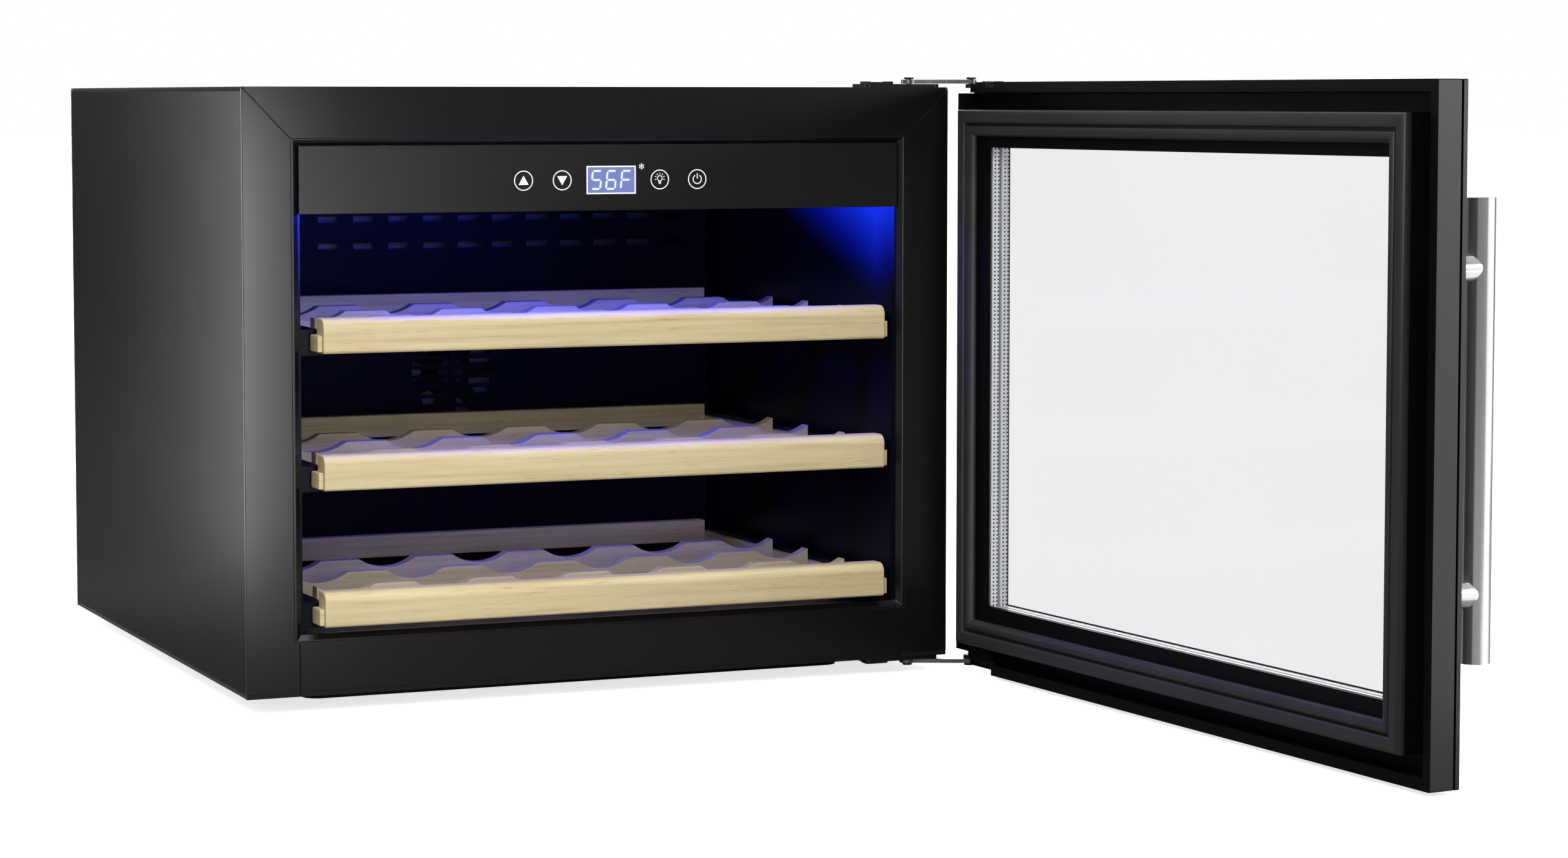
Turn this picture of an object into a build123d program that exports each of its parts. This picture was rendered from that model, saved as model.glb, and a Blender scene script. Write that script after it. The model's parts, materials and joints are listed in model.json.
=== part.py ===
from build123d import *
import math
import os

# Built-in wine cooler with three slide-out shelves and a glazed door.
# Millimetres. +X is to the right seen from the front, the front faces -Y, +Z is up.
# The origin is at the floor, under the centre of the cabinet.
# The door is drawn closed and then swung open on its hinge arms, which is the rest pose.

# ---- driving dimensions ----
CABINET_WIDTH = 555.0
CABINET_DEPTH = 540.0
CABINET_TOP = 450.0
BASE_BOTTOM = 12.5       # underside of the base pan, above the floor
FRAME_BOTTOM = 16.0      # lower edge of the front frame and the side panels
SHEET = 1.2              # steel sheet of the outer shell
FRAME_THICKNESS = 3.0    # front frame plates
SEAM = 0.15              # half of the visible joint between two plates

OPENING_HALF = 242.0     # half width of the hole in the front frame
OPENING_BOTTOM = 51.7
OPENING_TOP = 413.0
BOTTOM_RAIL_HALF = 238.0
TRIM_WIDTH = 6.0
TRIM_DEPTH = 8.0

LINER_WALL = 2.5
LINER_FLOOR = 55.0       # inner surfaces of the liner
LINER_CEILING = 372.0
LINER_HALF = 233.5
LINER_BACK = 118.0
FOAM_BACK = 148.8

PANEL_BOTTOM = 359.2
PANEL_THICKNESS = 4.0
ICON_HEIGHT = 381.6
DISPLAY_CENTRE = 2.5
DISPLAY_WIDTH = 39.0
DISPLAY_HEIGHT = 21.0

SHELF_COUNT = 3
LOWEST_SHELF_TOP = 87.5
SHELF_PITCH = 98.5
SHELF_HALF = 221.0
SHELF_FRONT_HEIGHT = 25.2
SHELF_FRONT_THICKNESS = 18.0
SHELF_PROUD = 8.0        # front of the shelf ahead of the cabinet's front plane
SHELF_BACK = 85.0
BOTTLE_PITCH = 76.0
BOTTLE_COUNT = 6

DOOR_HALF = 295.0
DOOR_BOTTOM = 3.0
DOOR_TOP = 454.0
DOOR_CLEAR_HALF = 249.0  # clear glass
DOOR_CLEAR_BOTTOM = 56.0
DOOR_CLEAR_TOP = 404.5
GASKET_HALF = 276.5
GASKET_BOTTOM = 25.0
GASKET_TOP = 433.0
GASKET_BAND = 20.0
GASKET_FACE = 0.5        # gap from the gasket to the cabinet's front plane, door shut
CARRIER_FACE = 7.0
LIP_FACE = 10.0
RIM_FACE = 13.0          # rim plane, in front of the cabinet's front plane
FRAME_FACE = 31.0        # the side of the door frame that the glass is taped to
PANE = 3.0
OUTER_PANE = 3.2
OUTER_FACE = 36.0        # the outside of the door
SPACER = 6.0

HANDLE_RADIUS = 10.4
HANDLE_WALL = 1.5
HANDLE_LENGTH = 300.0
HANDLE_INSET = 29.0      # handle axis from the door's free edge
HANDLE_STANDOFF = 33.2   # handle axis from the outer glass
POST_RADIUS = 9.5
POST_SPACING = 210.0

DOOR_OPENING = 94.2      # degrees between the shut door and the rest pose
ARM_SHARE = 6.0          # the arms turn one sixth of what the door turns
ARM_PIVOT_X = 250.0
ARM_PIVOT_BEHIND = 12.0  # behind the cabinet's front plane
DOOR_PIVOT_X = 286.1
DOOR_PIVOT_AHEAD = 19.05  # in front of the cabinet's front plane, door shut
PIN_RADIUS = 2.0
RUNNING_GAP = 0.05
HINGE_PLATE = 2.5
ARM_THICKNESS = 3.0
LEVEL_GAP = 0.3
PIN_HEAD = 1.5

FAN_HEIGHT = 215.0
FAN_RADIUS = 40.0
COOLING_FAN_X = 60.0
COOLING_FAN_Z = 92.0
COOLING_FAN_RADIUS = 48.0
COOLING_FAN_Y = 205.0

PLINTH_INSET = 62.0
PLINTH_WIDTH = 28.0
SHELL_RADIUS = 4.0       # upper long edges of the outer shell
VENT_HEIGHT = 6.0        # louvre slots in the rear cover: columns, half width, first height, pitch, rows
LOWER_VENTS = ([-150.0, -50.0, 50.0], 40.0, 60.0, 14.0, 9)
UPPER_VENTS = ([-180.0, -60.0, 60.0, 180.0], 48.0, 300.0, 18.0, 6)
INLET_X = 200.0
INLET_Z = 90.0

LENS_HALF = 150.0        # light in the liner's ceiling
LENS_FRONT = 26.0        # behind the cabinet's front plane
LENS_WIDTH = 20.0
LENS_DROP = 7.0
DUCT_FRONT = 95.0        # cover in front of the evaporator
DUCT_SHEET = 2.5
OUTLET_COUNT = 14
OUTLET_PITCH = 30.0
OUTLET_HEIGHTS = [318.0, 340.0]
EVAPORATOR_HALF = 190.0
EVAPORATOR_BOTTOM = 90.0
EVAPORATOR_TOP = 350.0
CHANNEL_COUNT = 7
CHANNEL_PITCH = 36.0

COMPRESSOR_X = -120.0
COMPRESSOR_Y = 205.0
COMPRESSOR_RADIUS = 48.0
COMPRESSOR_BOTTOM = 32.0
COMPRESSOR_TOP = 160.0
COMPRESSOR_FOOT_DROP = 6.0
GROMMET_PLACES = [(dx, dy) for dx in (-64, 64) for dy in (-25, 25)]
GROMMET_RADIUS = 9.0
TRAY_HEIGHT = 22.0
TRAY_WALL = 2.0
CONDENSER_HALF = 190.0
CONDENSER_Y = 185.0
CONDENSER_BOTTOM = 232.0  # lowest run of the tube
CONDENSER_RUNS = 8
CONDENSER_BEND = 12.0
CONDENSER_TUBE = 3.0
FIN_REACH = 160
FIN_PITCH = 20
FIN_BOTTOM = 226.0
FIN_TOP = 406.0

RAIL_INNER = 212.0       # shelf side rails
RAIL_OUTER = 224.6
RAIL_DROP = 24.0         # underside of the side rails, below the top of the shelf front
RAIL_HEIGHT = 12.0
SLAT_THICKNESS = 12.0
SLAT_TOP_DROP = 2.0
SLAT_HEIGHT = 18.0
CRADLE_RADIUS = 39.0
CRADLE_DEPTH = 7.0
CRADLE_SLATS = [-225.0, -155.0, -85.0]
REAR_SLAT = 60.0

RIM_WIDTH = 8.0          # rim outside the door's groove
GROOVE_BOTTOM = 27.0
LEAF_X0 = 244.0
LEAF_Y = 26.0
LEAF_REAR = 16.5
DEEP_NOTCH = 18.0
BRACKET_X0 = 210.0
BRACKET_X1 = 272.0
BRACKET_FRONT = 1.5
BRACKET_DEPTH = 32.0
SCREW_RADIUS = 2.0
SCREW_HEAD_RADIUS = 4.0
SCREW_HEAD_HEIGHT = 2.0
SCREW_CLEARANCE = 2.3
BRACKET_SCREW_LENGTH = 6.0
LEAF_SCREW_LENGTH = 3.0

# ---- derived places ----
HALF = CABINET_WIDTH / 2
FRONT = -CABINET_DEPTH / 2
BACK = CABINET_DEPTH / 2
TRIM_HALF = OPENING_HALF - TRIM_WIDTH
TRIM_BOTTOM = OPENING_BOTTOM + 5.3
TRIM_TOP = OPENING_TOP - 5.0
FLANGE_FRONT = FRONT + TRIM_DEPTH
SHELF_TOPS = [LOWEST_SHELF_TOP + SHELF_PITCH * i for i in range(SHELF_COUNT)]
SHELF_NAMES = ["bottom", "middle", "top"]
SHELF_FRONT = FRONT - SHELF_PROUD
BOTTLE_CENTRES = [BOTTLE_PITCH * (i - (BOTTLE_COUNT - 1) / 2) for i in range(BOTTLE_COUNT)]
ARM_PIVOT = (ARM_PIVOT_X, FRONT + ARM_PIVOT_BEHIND)
DOOR_PIVOT = (DOOR_PIVOT_X, FRONT - DOOR_PIVOT_AHEAD)
DOOR_MIDDLE = (DOOR_BOTTOM + DOOR_TOP) / 2
HANDLE_X = HANDLE_INSET - DOOR_HALF
HANDLE_Y = FRONT - OUTER_FACE - HANDLE_STANDOFF
POST_HEIGHTS = [DOOR_MIDDLE - POST_SPACING / 2, DOOR_MIDDLE + POST_SPACING / 2]
GLAZING_FRONT = FRONT - OUTER_FACE + OUTER_PANE
MIDDLE_PANE = GLAZING_FRONT + SPACER
INNER_PANE = MIDDLE_PANE + PANE + SPACER
# Each hinge is stacked outwards from the face it is screwed to: the plates, the arm, the pin heads.
HINGE_FACES = [(CABINET_TOP, 1), (BASE_BOTTOM, -1)]
TOP_FACE = HINGE_FACES[:1]
BOTTOM_FACE = HINGE_FACES[1:]
BRACKET_SCREWS = [(219.0, FRONT + 24.0), (238.0, FRONT + 24.0)]
LEAF_SCREWS = [(251.0, FRONT - 22.0), (267.0, FRONT - 22.0)]


# ---- helpers ----
def block(x0, x1, y0, y1, z0, z1):
    """A box between two corners."""
    return Pos((x0 + x1) / 2, (y0 + y1) / 2, (z0 + z1) / 2) * Box(x1 - x0, y1 - y0, z1 - z0)


def along_y(x, z, radius, y0, y1):
    """A cylinder along Y."""
    return Pos(x, (y0 + y1) / 2, z) * Rot(90, 0, 0) * Cylinder(radius, y1 - y0)


def along_z(x, y, radius, z0, z1):
    """A cylinder along Z."""
    return Pos(x, y, (z0 + z1) / 2) * Cylinder(radius, z1 - z0)


def ring(half_out, z0, z1, half_in, z2, z3, y0, y1):
    """A rectangular frame in the XZ plane, centred on x = 0."""
    return block(-half_out, half_out, y0, y1, z0, z1) - block(-half_in, half_in, y0 - 1, y1 + 1, z2, z3)


def front_plate(points, y0, y1):
    """A flat plate with an XZ outline, from y0 back to y1."""
    face = make_face(Polyline(*[(x, y1, z) for x, z in points], close=True))
    return extrude(face, y1 - y0, dir=(0, -1, 0))


def turned(shape, pivot, degrees):
    """The shape turned about a vertical axis through pivot."""
    return Pos(*pivot) * Rot(0, 0, degrees) * Pos(-pivot[0], -pivot[1]) * shape


def with_arm(shape):
    """A piece of a hinge arm, from the shut door to the rest pose."""
    return turned(shape, ARM_PIVOT, DOOR_OPENING / ARM_SHARE)


def with_door(shape):
    """A piece of the door, from shut to the rest pose."""
    own_turn = DOOR_OPENING - DOOR_OPENING / ARM_SHARE
    return with_arm(turned(shape, DOOR_PIVOT, own_turn))


# ---- cabinet ----
def outer_shell():
    y0 = FRONT + FRAME_THICKNESS
    y1 = BACK - SHEET
    skin = block(-HALF, HALF, y0, y1, FRAME_BOTTOM, CABINET_TOP)
    skin = fillet(skin.edges().filter_by(Axis.Y).group_by(Axis.Z)[-1], SHELL_RADIUS)
    inside = block(-HALF + SHEET, HALF - SHEET, y0 - 1, y1 + 1, FRAME_BOTTOM - 1, CABINET_TOP - SHEET)
    inside = fillet(inside.edges().filter_by(Axis.Y).group_by(Axis.Z)[-1], SHELL_RADIUS - SHEET)
    return skin - inside


def base_pan():
    inset = 0.8
    wall = 1.5
    edge = HALF - inset
    y0 = FRONT + FRAME_THICKNESS
    y1 = BACK - SHEET
    tray = block(-edge, edge, y0, y1, BASE_BOTTOM, FRAME_BOTTOM)
    tray -= block(-edge + wall, edge - wall, y0 + wall, y1 - wall, BASE_BOTTOM + wall, FRAME_BOTTOM + 1)
    hem = block(-BOTTOM_RAIL_HALF + 0.3, BOTTOM_RAIL_HALF - 0.3, FRONT + 0.5, y0, BASE_BOTTOM, FRAME_BOTTOM)
    return tray + hem


def plinth_frame():
    x = HALF - PLINTH_INSET
    y = CABINET_DEPTH / 2 - PLINTH_INSET
    outer = block(-x, x, -y, y, 0, BASE_BOTTOM)
    outer = fillet(outer.edges().filter_by(Axis.Z), 12.0)
    return outer - block(-x + PLINTH_WIDTH, x - PLINTH_WIDTH, -y + PLINTH_WIDTH, y - PLINTH_WIDTH,
                         -1, BASE_BOTTOM + 1)


def stile(side):
    """side is -1 for the left stile and 1 for the right one."""
    points = [
        (side * HALF, FRAME_BOTTOM),
        (side * (BOTTOM_RAIL_HALF + SEAM), FRAME_BOTTOM),
        (side * (BOTTOM_RAIL_HALF + SEAM), OPENING_BOTTOM),
        (side * OPENING_HALF, OPENING_BOTTOM),
        (side * OPENING_HALF, OPENING_TOP - SEAM),
        (side * HALF, CABINET_TOP - SEAM - 0.5),
    ]
    return front_plate(points, FRONT, FRONT + FRAME_THICKNESS)


def frame_top_rail():
    points = [
        (-HALF + 0.5, CABINET_TOP),
        (HALF - 0.5, CABINET_TOP),
        (HALF - 0.5, CABINET_TOP - 0.5 + SEAM),
        (OPENING_HALF, OPENING_TOP + SEAM),
        (-OPENING_HALF, OPENING_TOP + SEAM),
        (-HALF + 0.5, CABINET_TOP - 0.5 + SEAM),
    ]
    return front_plate(points, FRONT, FRONT + FRAME_THICKNESS)


def frame_bottom_rail():
    edge = BOTTOM_RAIL_HALF - SEAM
    return block(-edge, edge, FRONT, FRONT + FRAME_THICKNESS, FRAME_BOTTOM, OPENING_BOTTOM)


def stile_caps():
    caps = []
    for side in (-1, 1):
        x0, x1 = sorted((side * (BOTTOM_RAIL_HALF + 0.2), side * (HALF - 0.2)))
        cap = block(x0, x1, FRONT + 0.3, FRONT + FRAME_THICKNESS, BASE_BOTTOM, FRAME_BOTTOM)
        caps.append(fillet(cap.edges().filter_by(Axis.X).group_by(Axis.Z)[0].sort_by(Axis.Y)[0], 1.0))
    return caps


def opening_trim():
    """A narrow moulding round the opening, sloping inwards."""
    slope_depth = 4.0
    y0 = FRONT + 0.3
    body = ring(OPENING_HALF, OPENING_BOTTOM, OPENING_TOP, TRIM_HALF, TRIM_BOTTOM, TRIM_TOP,
                y0, FRONT + TRIM_DEPTH)
    inner = Pos(0, y0, (TRIM_BOTTOM + TRIM_TOP) / 2) * Rot(90, 0, 0) * Rectangle(
        2 * TRIM_HALF + 8.0, TRIM_TOP - TRIM_BOTTOM + 8.0)
    deep = Pos(0, y0 + slope_depth, (TRIM_BOTTOM + TRIM_TOP) / 2) * Rot(90, 0, 0) * Rectangle(
        2 * TRIM_HALF, TRIM_TOP - TRIM_BOTTOM)
    return body - loft([inner, deep])


def liner():
    """The inner box, open at the front, with a flange bonded behind the front frame."""
    outer_half = LINER_HALF + LINER_WALL
    y1 = LINER_BACK + LINER_WALL
    body = block(-outer_half, outer_half, FLANGE_FRONT, y1,
                 LINER_FLOOR - LINER_WALL, LINER_CEILING + LINER_WALL)
    body += block(-OPENING_HALF, OPENING_HALF, FLANGE_FRONT, FLANGE_FRONT + LINER_WALL,
                  OPENING_BOTTOM, LINER_CEILING + LINER_WALL)
    return body - block(-LINER_HALF, LINER_HALF, FLANGE_FRONT - 1, LINER_BACK, LINER_FLOOR, LINER_CEILING)


def panel_pocket(grow):
    """The space of the control housing, enlarged by grow."""
    return block(-TRIM_HALF + 4 - grow, TRIM_HALF - 4 + grow, FRONT + TRIM_DEPTH - 2, FRONT + 24 + grow,
                 LINER_CEILING + LINER_WALL + 1.5 - grow, TRIM_TOP - 1.5 + grow)


def insulation_foam():
    inner = HALF - SHEET
    y0 = FRONT + FRAME_THICKNESS
    body = block(-inner, inner, y0, FOAM_BACK, FRAME_BOTTOM, CABINET_TOP - SHEET)
    body = fillet(body.edges().filter_by(Axis.Y).group_by(Axis.Z)[-1], SHELL_RADIUS - SHEET)
    body -= block(-OPENING_HALF, OPENING_HALF, y0 - 1, FLANGE_FRONT + LINER_WALL, OPENING_BOTTOM, OPENING_TOP)
    half = LINER_HALF + LINER_WALL
    body -= block(-half, half, y0 - 1, LINER_BACK + LINER_WALL,
                  LINER_FLOOR - LINER_WALL, LINER_CEILING + LINER_WALL)
    return body - panel_pocket(1.2)


def rear_bulkhead():
    """The steel sheet between the insulation and the machine space."""
    inner = HALF - SHEET
    return block(-inner, inner, FOAM_BACK, FOAM_BACK + 1.0, FRAME_BOTTOM, CABINET_TOP - SHEET - SHELL_RADIUS)


def back_panel():
    """The rear cover, with louvre slots over the machine space and an inlet cut-out."""
    panel = block(-HALF, HALF, BACK - SHEET, BACK, BASE_BOTTOM, CABINET_TOP)
    for columns, half, start, pitch, rows in (LOWER_VENTS, UPPER_VENTS):
        for row in range(rows):
            z = start + row * pitch
            for x in columns:
                panel -= block(x - half, x + half, BACK - SHEET - 1, BACK + 1, z, z + VENT_HEIGHT)
    return panel - block(INLET_X - 24.2, INLET_X + 24.2, BACK - SHEET - 1, BACK + 1,
                         INLET_Z - 14.2, INLET_Z + 14.2)


def power_inlet():
    """The mains inlet socket, with three contact blades in its well."""
    body = block(INLET_X - 24, INLET_X + 24, BACK - 22, BACK, INLET_Z - 14, INLET_Z + 14)
    body += block(INLET_X - 27, INLET_X + 27, BACK - SHEET - 2, BACK - SHEET, INLET_Z - 17, INLET_Z + 17)
    well = block(INLET_X - 14, INLET_X + 14, BACK - 17, BACK + 1, INLET_Z - 9, INLET_Z + 9)
    well = chamfer(well.edges().filter_by(Axis.Y).group_by(Axis.Z)[-1], 4.0)
    body -= well
    for dx, dz in ((-7, -3), (7, -3), (0, 4)):
        body += block(INLET_X + dx - 1, INLET_X + dx + 1, BACK - 18, BACK - 4,
                      INLET_Z + dz - 2, INLET_Z + dz + 2)
    return body


# ---- controls and light ----
def control_panel():
    """The touch strip across the top of the opening, with the board housing moulded on its back."""
    y0 = FRONT + 2.0
    y1 = y0 + PANEL_THICKNESS
    plate = block(-TRIM_HALF + 0.3, TRIM_HALF - 0.3, y0, y1, PANEL_BOTTOM, TRIM_TOP - 0.3)
    housing = panel_pocket(0.0)
    hollow = block(-TRIM_HALF + 6, TRIM_HALF - 6, y1, FRONT + 30,
                   LINER_CEILING + LINER_WALL + 3.5, TRIM_TOP - 3.5)
    half_w = DISPLAY_WIDTH / 2
    half_h = DISPLAY_HEIGHT / 2
    recess = block(DISPLAY_CENTRE - half_w, DISPLAY_CENTRE + half_w, y0 - 1, y0 + 1.2,
                   ICON_HEIGHT - half_h, ICON_HEIGHT + half_h)
    return plate + (housing - hollow) - recess


def display_window():
    half_w = DISPLAY_WIDTH / 2 - 0.1
    half_h = DISPLAY_HEIGHT / 2 - 0.1
    return block(DISPLAY_CENTRE - half_w, DISPLAY_CENTRE + half_w, FRONT + 2.0, FRONT + 3.2,
                 ICON_HEIGHT - half_h, ICON_HEIGHT + half_h)


def control_board():
    y0 = FRONT + 2.0 + PANEL_THICKNESS
    z0 = LINER_CEILING + LINER_WALL + 4.5
    board = block(-92, 92, y0 + 2.0, y0 + 3.6, z0, TRIM_TOP - 4.5)
    for x, width, depth in ((-60, 24, 5), (-10, 14, 3), (40, 30, 8)):
        board += block(x, x + width, y0 + 3.6, y0 + 3.6 + depth, z0 + 4, TRIM_TOP - 9)
    for x in (-85, 85):
        board += along_y(x, z0 + 10, 3.0, y0, y0 + 2.0)
    return board


def light_lens():
    y0 = FRONT + LENS_FRONT
    lens = block(-LENS_HALF, LENS_HALF, y0, y0 + LENS_WIDTH, LINER_CEILING - LENS_DROP, LINER_CEILING)
    return fillet(lens.edges().filter_by(Axis.X).group_by(Axis.Z)[0], 3.0)


# ---- cold side ----
def duct_cover():
    """The cover in front of the evaporator, with outlet slots above and a fan guard in its middle."""
    y0 = DUCT_FRONT
    y1 = y0 + DUCT_SHEET
    half = LINER_HALF - 6.0
    cover = block(-half, half, y0, y1, LINER_FLOOR + 4, LINER_CEILING - 6)
    for side in (-half, half - DUCT_SHEET):
        cover += block(side, side + DUCT_SHEET, y1, LINER_BACK, LINER_FLOOR + 4, LINER_CEILING - 6)
    for column in range(OUTLET_COUNT):
        x = OUTLET_PITCH * (column - (OUTLET_COUNT - 1) / 2)
        for z in OUTLET_HEIGHTS:
            cover -= block(x - 10, x + 10, y0 - 1, y1 + 1, z, z + 5)
    guard = FAN_RADIUS - 4
    for row in range(-4, 5):
        z = FAN_HEIGHT + row * 8
        reach = math.sqrt(guard ** 2 - (row * 8) ** 2)
        for side in (-1, 1):
            x0, x1 = sorted((side * 2.5, side * max(reach, 8)))
            cover -= block(x0, x1, y0 - 1, y1 + 1, z - 2.5, z + 2.5)
    return cover


def evaporator():
    """The cooling plate on the liner's back wall, with the bonded refrigerant channels raised on it."""
    plate = block(-EVAPORATOR_HALF, EVAPORATOR_HALF, LINER_BACK - 4.0, LINER_BACK - 2.5,
                  EVAPORATOR_BOTTOM, EVAPORATOR_TOP)
    for row in range(CHANNEL_COUNT):
        z = EVAPORATOR_BOTTOM + 20 + row * CHANNEL_PITCH
        plate += block(-170, 170, LINER_BACK - 6.0, LINER_BACK - 4.0, z, z + 8)
    for x in (-180, 172):
        for z in (94, 338):
            plate += block(x, x + 8, LINER_BACK - 2.5, LINER_BACK, z, z + 8)
    return plate - along_y(0, FAN_HEIGHT, 22, LINER_BACK - 8, LINER_BACK + 1)


def circulation_fan_motor():
    motor = along_y(0, FAN_HEIGHT, 14, LINER_BACK - 8, LINER_BACK)
    return motor + along_y(0, FAN_HEIGHT, 2, LINER_BACK - 17, LINER_BACK - 8)


def impeller(x, z, y0, y1, hub, radius, blades, shaft, pitch):
    """A fan wheel on a shaft along Y, with flat blades set at an angle."""
    wheel = along_y(x, z, hub, y0, y1)
    middle = (y0 + y1) / 2
    length = radius - hub + 2
    chord = (y1 - y0) / math.sin(math.radians(pitch)) - 3
    for i in range(blades):
        blade = Pos(hub - 2 + length / 2, 0, 0) * Rot(pitch, 0, 0) * Box(length, 1.6, chord)
        wheel += Pos(x, middle, z) * Rot(0, i * 360 / blades, 0) * blade
    wheel &= along_y(x, z, radius, y0, y1)
    return wheel - along_y(x, z, shaft + RUNNING_GAP, y0 - 1, y1 + 1)


def circulation_fan():
    return impeller(0, FAN_HEIGHT, LINER_BACK - 18, LINER_BACK - 9, 11, FAN_RADIUS, 7, 2, 35)


# ---- machine space ----
def compressor():
    can = along_z(COMPRESSOR_X, COMPRESSOR_Y, COMPRESSOR_RADIUS, COMPRESSOR_BOTTOM, COMPRESSOR_TOP)
    can = fillet(can.edges().filter_by(GeomType.CIRCLE), 22.0)
    weld = along_z(COMPRESSOR_X, COMPRESSOR_Y, COMPRESSOR_RADIUS + 2.5, 92, 97)
    z0 = COMPRESSOR_BOTTOM - COMPRESSOR_FOOT_DROP
    feet = block(COMPRESSOR_X - 75, COMPRESSOR_X + 75, COMPRESSOR_Y - 35, COMPRESSOR_Y + 35, z0, z0 + 3)
    neck = along_z(COMPRESSOR_X, COMPRESSOR_Y, 22, z0 + 3, COMPRESSOR_BOTTOM + 8)
    body = can + weld + feet + neck
    for dx, dy in GROMMET_PLACES:
        body -= along_z(COMPRESSOR_X + dx, COMPRESSOR_Y + dy, 5, z0 - 1, z0 + 4)
    box = block(COMPRESSOR_X + COMPRESSOR_RADIUS - 6, COMPRESSOR_X + COMPRESSOR_RADIUS + 20,
                COMPRESSOR_Y - 20, COMPRESSOR_Y + 20, 80, 130)
    return body + box


def compressor_grommets():
    """Rubber mounts between the base pan and the compressor's foot plate."""
    floor = BASE_BOTTOM + 1.5
    foot = COMPRESSOR_BOTTOM - COMPRESSOR_FOOT_DROP
    return [along_z(COMPRESSOR_X + dx, COMPRESSOR_Y + dy, GROMMET_RADIUS, floor, foot)
            for dx, dy in GROMMET_PLACES]


def drip_tray():
    """The evaporation tray above the compressor."""
    z0 = COMPRESSOR_TOP
    half_x = 60.0
    half_y = 40.0
    tray = block(COMPRESSOR_X - half_x, COMPRESSOR_X + half_x, COMPRESSOR_Y - half_y, COMPRESSOR_Y + half_y,
                 z0, z0 + TRAY_HEIGHT)
    half_x -= TRAY_WALL
    half_y -= TRAY_WALL
    return tray - block(COMPRESSOR_X - half_x, COMPRESSOR_X + half_x,
                        COMPRESSOR_Y - half_y, COMPRESSOR_Y + half_y, z0 + TRAY_WALL, z0 + TRAY_HEIGHT + 1)


def condenser():
    """A serpentine tube with flat fins across it."""
    y = CONDENSER_Y
    points = []
    for i in range(CONDENSER_RUNS):
        z = CONDENSER_BOTTOM + i * 2 * CONDENSER_BEND
        ends = [(-CONDENSER_HALF, y, z), (CONDENSER_HALF, y, z)]
        points += ends if i % 2 == 0 else ends[::-1]
    line = FilletPolyline(*points, radius=CONDENSER_BEND - 0.01)
    start = Plane(origin=line @ 0, z_dir=line % 0)
    tube = sweep(start * Circle(CONDENSER_TUBE), path=line)
    for x in range(-FIN_REACH, FIN_REACH + 1, FIN_PITCH):
        tube += block(x - 0.8, x + 0.8, y - 9, y + 9, FIN_BOTTOM, FIN_TOP)
    for x in (-FIN_REACH - 16, FIN_REACH + 16):
        tube += block(x - 1.5, x + 1.5, FOAM_BACK + 1.0, y + 9, FIN_BOTTOM, FIN_TOP)
    return tube


def cooling_fan_shroud():
    """The square frame of the condenser fan, with its motor held on three spokes."""
    side = COOLING_FAN_RADIUS + 8
    x = COOLING_FAN_X
    z = COOLING_FAN_Z
    y = COOLING_FAN_Y
    shroud = block(x - side, x + side, y - 15, y + 15, z - side, z + side)
    shroud -= along_y(x, z, COOLING_FAN_RADIUS + 3, y - 16, y + 16)
    shroud += along_y(x, z, 16, y + 6, y + 15)
    for i in range(3):
        spoke = Rot(0, i * 120 + 30, 0) * Pos(side / 2 + 3, 0, 0) * Box(side - 8, 3, 5)
        shroud += Pos(x, y + 13.5, z) * spoke
    shroud += along_y(x, z, 2, y - 8, y + 6)
    for dx in (-40, 40):
        shroud += block(x + dx - 8, x + dx + 8, y - 15, y + 15, BASE_BOTTOM + 1.5, z - side)
    return shroud


def cooling_fan():
    return impeller(COOLING_FAN_X, COOLING_FAN_Z, COOLING_FAN_Y - 10, COOLING_FAN_Y + 5,
                    13, COOLING_FAN_RADIUS, 5, 2, 40)


def main_board():
    """The power board in its open tray beside the inlet."""
    z0 = 130.0
    y1 = FOAM_BACK + 1.0
    tray = block(150, 262, y1, y1 + 26, z0, z0 + 78)
    tray -= block(152, 260, y1 + 2, y1 + 27, z0 + 2, z0 + 76)
    tray += block(156, 256, y1 + 2, y1 + 8, z0 + 6, z0 + 72)
    tray += block(164, 192, y1 + 8, y1 + 22, z0 + 12, z0 + 42)
    tray += block(200, 218, y1 + 8, y1 + 18, z0 + 20, z0 + 50)
    tray += along_y(238, z0 + 30, 8, y1 + 8, y1 + 22)
    return tray


# ---- shelves ----
def shelf_front(top):
    y1 = SHELF_FRONT + SHELF_FRONT_THICKNESS
    board = block(-SHELF_HALF, SHELF_HALF, SHELF_FRONT, y1, top - SHELF_FRONT_HEIGHT, top)
    along = board.edges().filter_by(Axis.X)
    board = fillet(along.group_by(Axis.Z)[-1].sort_by(Axis.Y)[0], 7.0)
    lower = board.edges().filter_by(Axis.X).group_by(Axis.Z)[0].sort_by(Axis.Y)[0]
    return fillet(lower, 2.0)


def shelf_rails(top):
    z0 = top - RAIL_DROP
    z1 = z0 + RAIL_HEIGHT
    behind = SHELF_FRONT + SHELF_FRONT_THICKNESS
    rails = []
    for side in (-1, 1):
        x0, x1 = sorted((side * RAIL_INNER, side * RAIL_OUTER))
        rail = block(x0, x1, behind, SHELF_BACK, z0, z1)
        x2, x3 = sorted((side * SHELF_HALF, side * RAIL_OUTER))
        rails.append(rail + block(x2, x3, SHELF_FRONT + 3, behind, z0, z1))
    return rails


def shelf_slats(top):
    """Three cradle slats under the bottles and a plain one at the back, between the side rails."""
    z1 = top - SLAT_TOP_DROP
    z0 = z1 - SLAT_HEIGHT
    slats = []
    for y in CRADLE_SLATS:
        slat = block(-RAIL_INNER, RAIL_INNER, y, y + SLAT_THICKNESS, z0, z1)
        for x in BOTTLE_CENTRES:
            slat -= along_y(x, z1 - CRADLE_DEPTH + CRADLE_RADIUS, CRADLE_RADIUS, y - 1, y + SLAT_THICKNESS + 1)
        slats.append(slat)
    slats.append(block(-RAIL_INNER, RAIL_INNER, REAR_SLAT, REAR_SLAT + SLAT_THICKNESS, z0, z1))
    return slats


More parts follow.
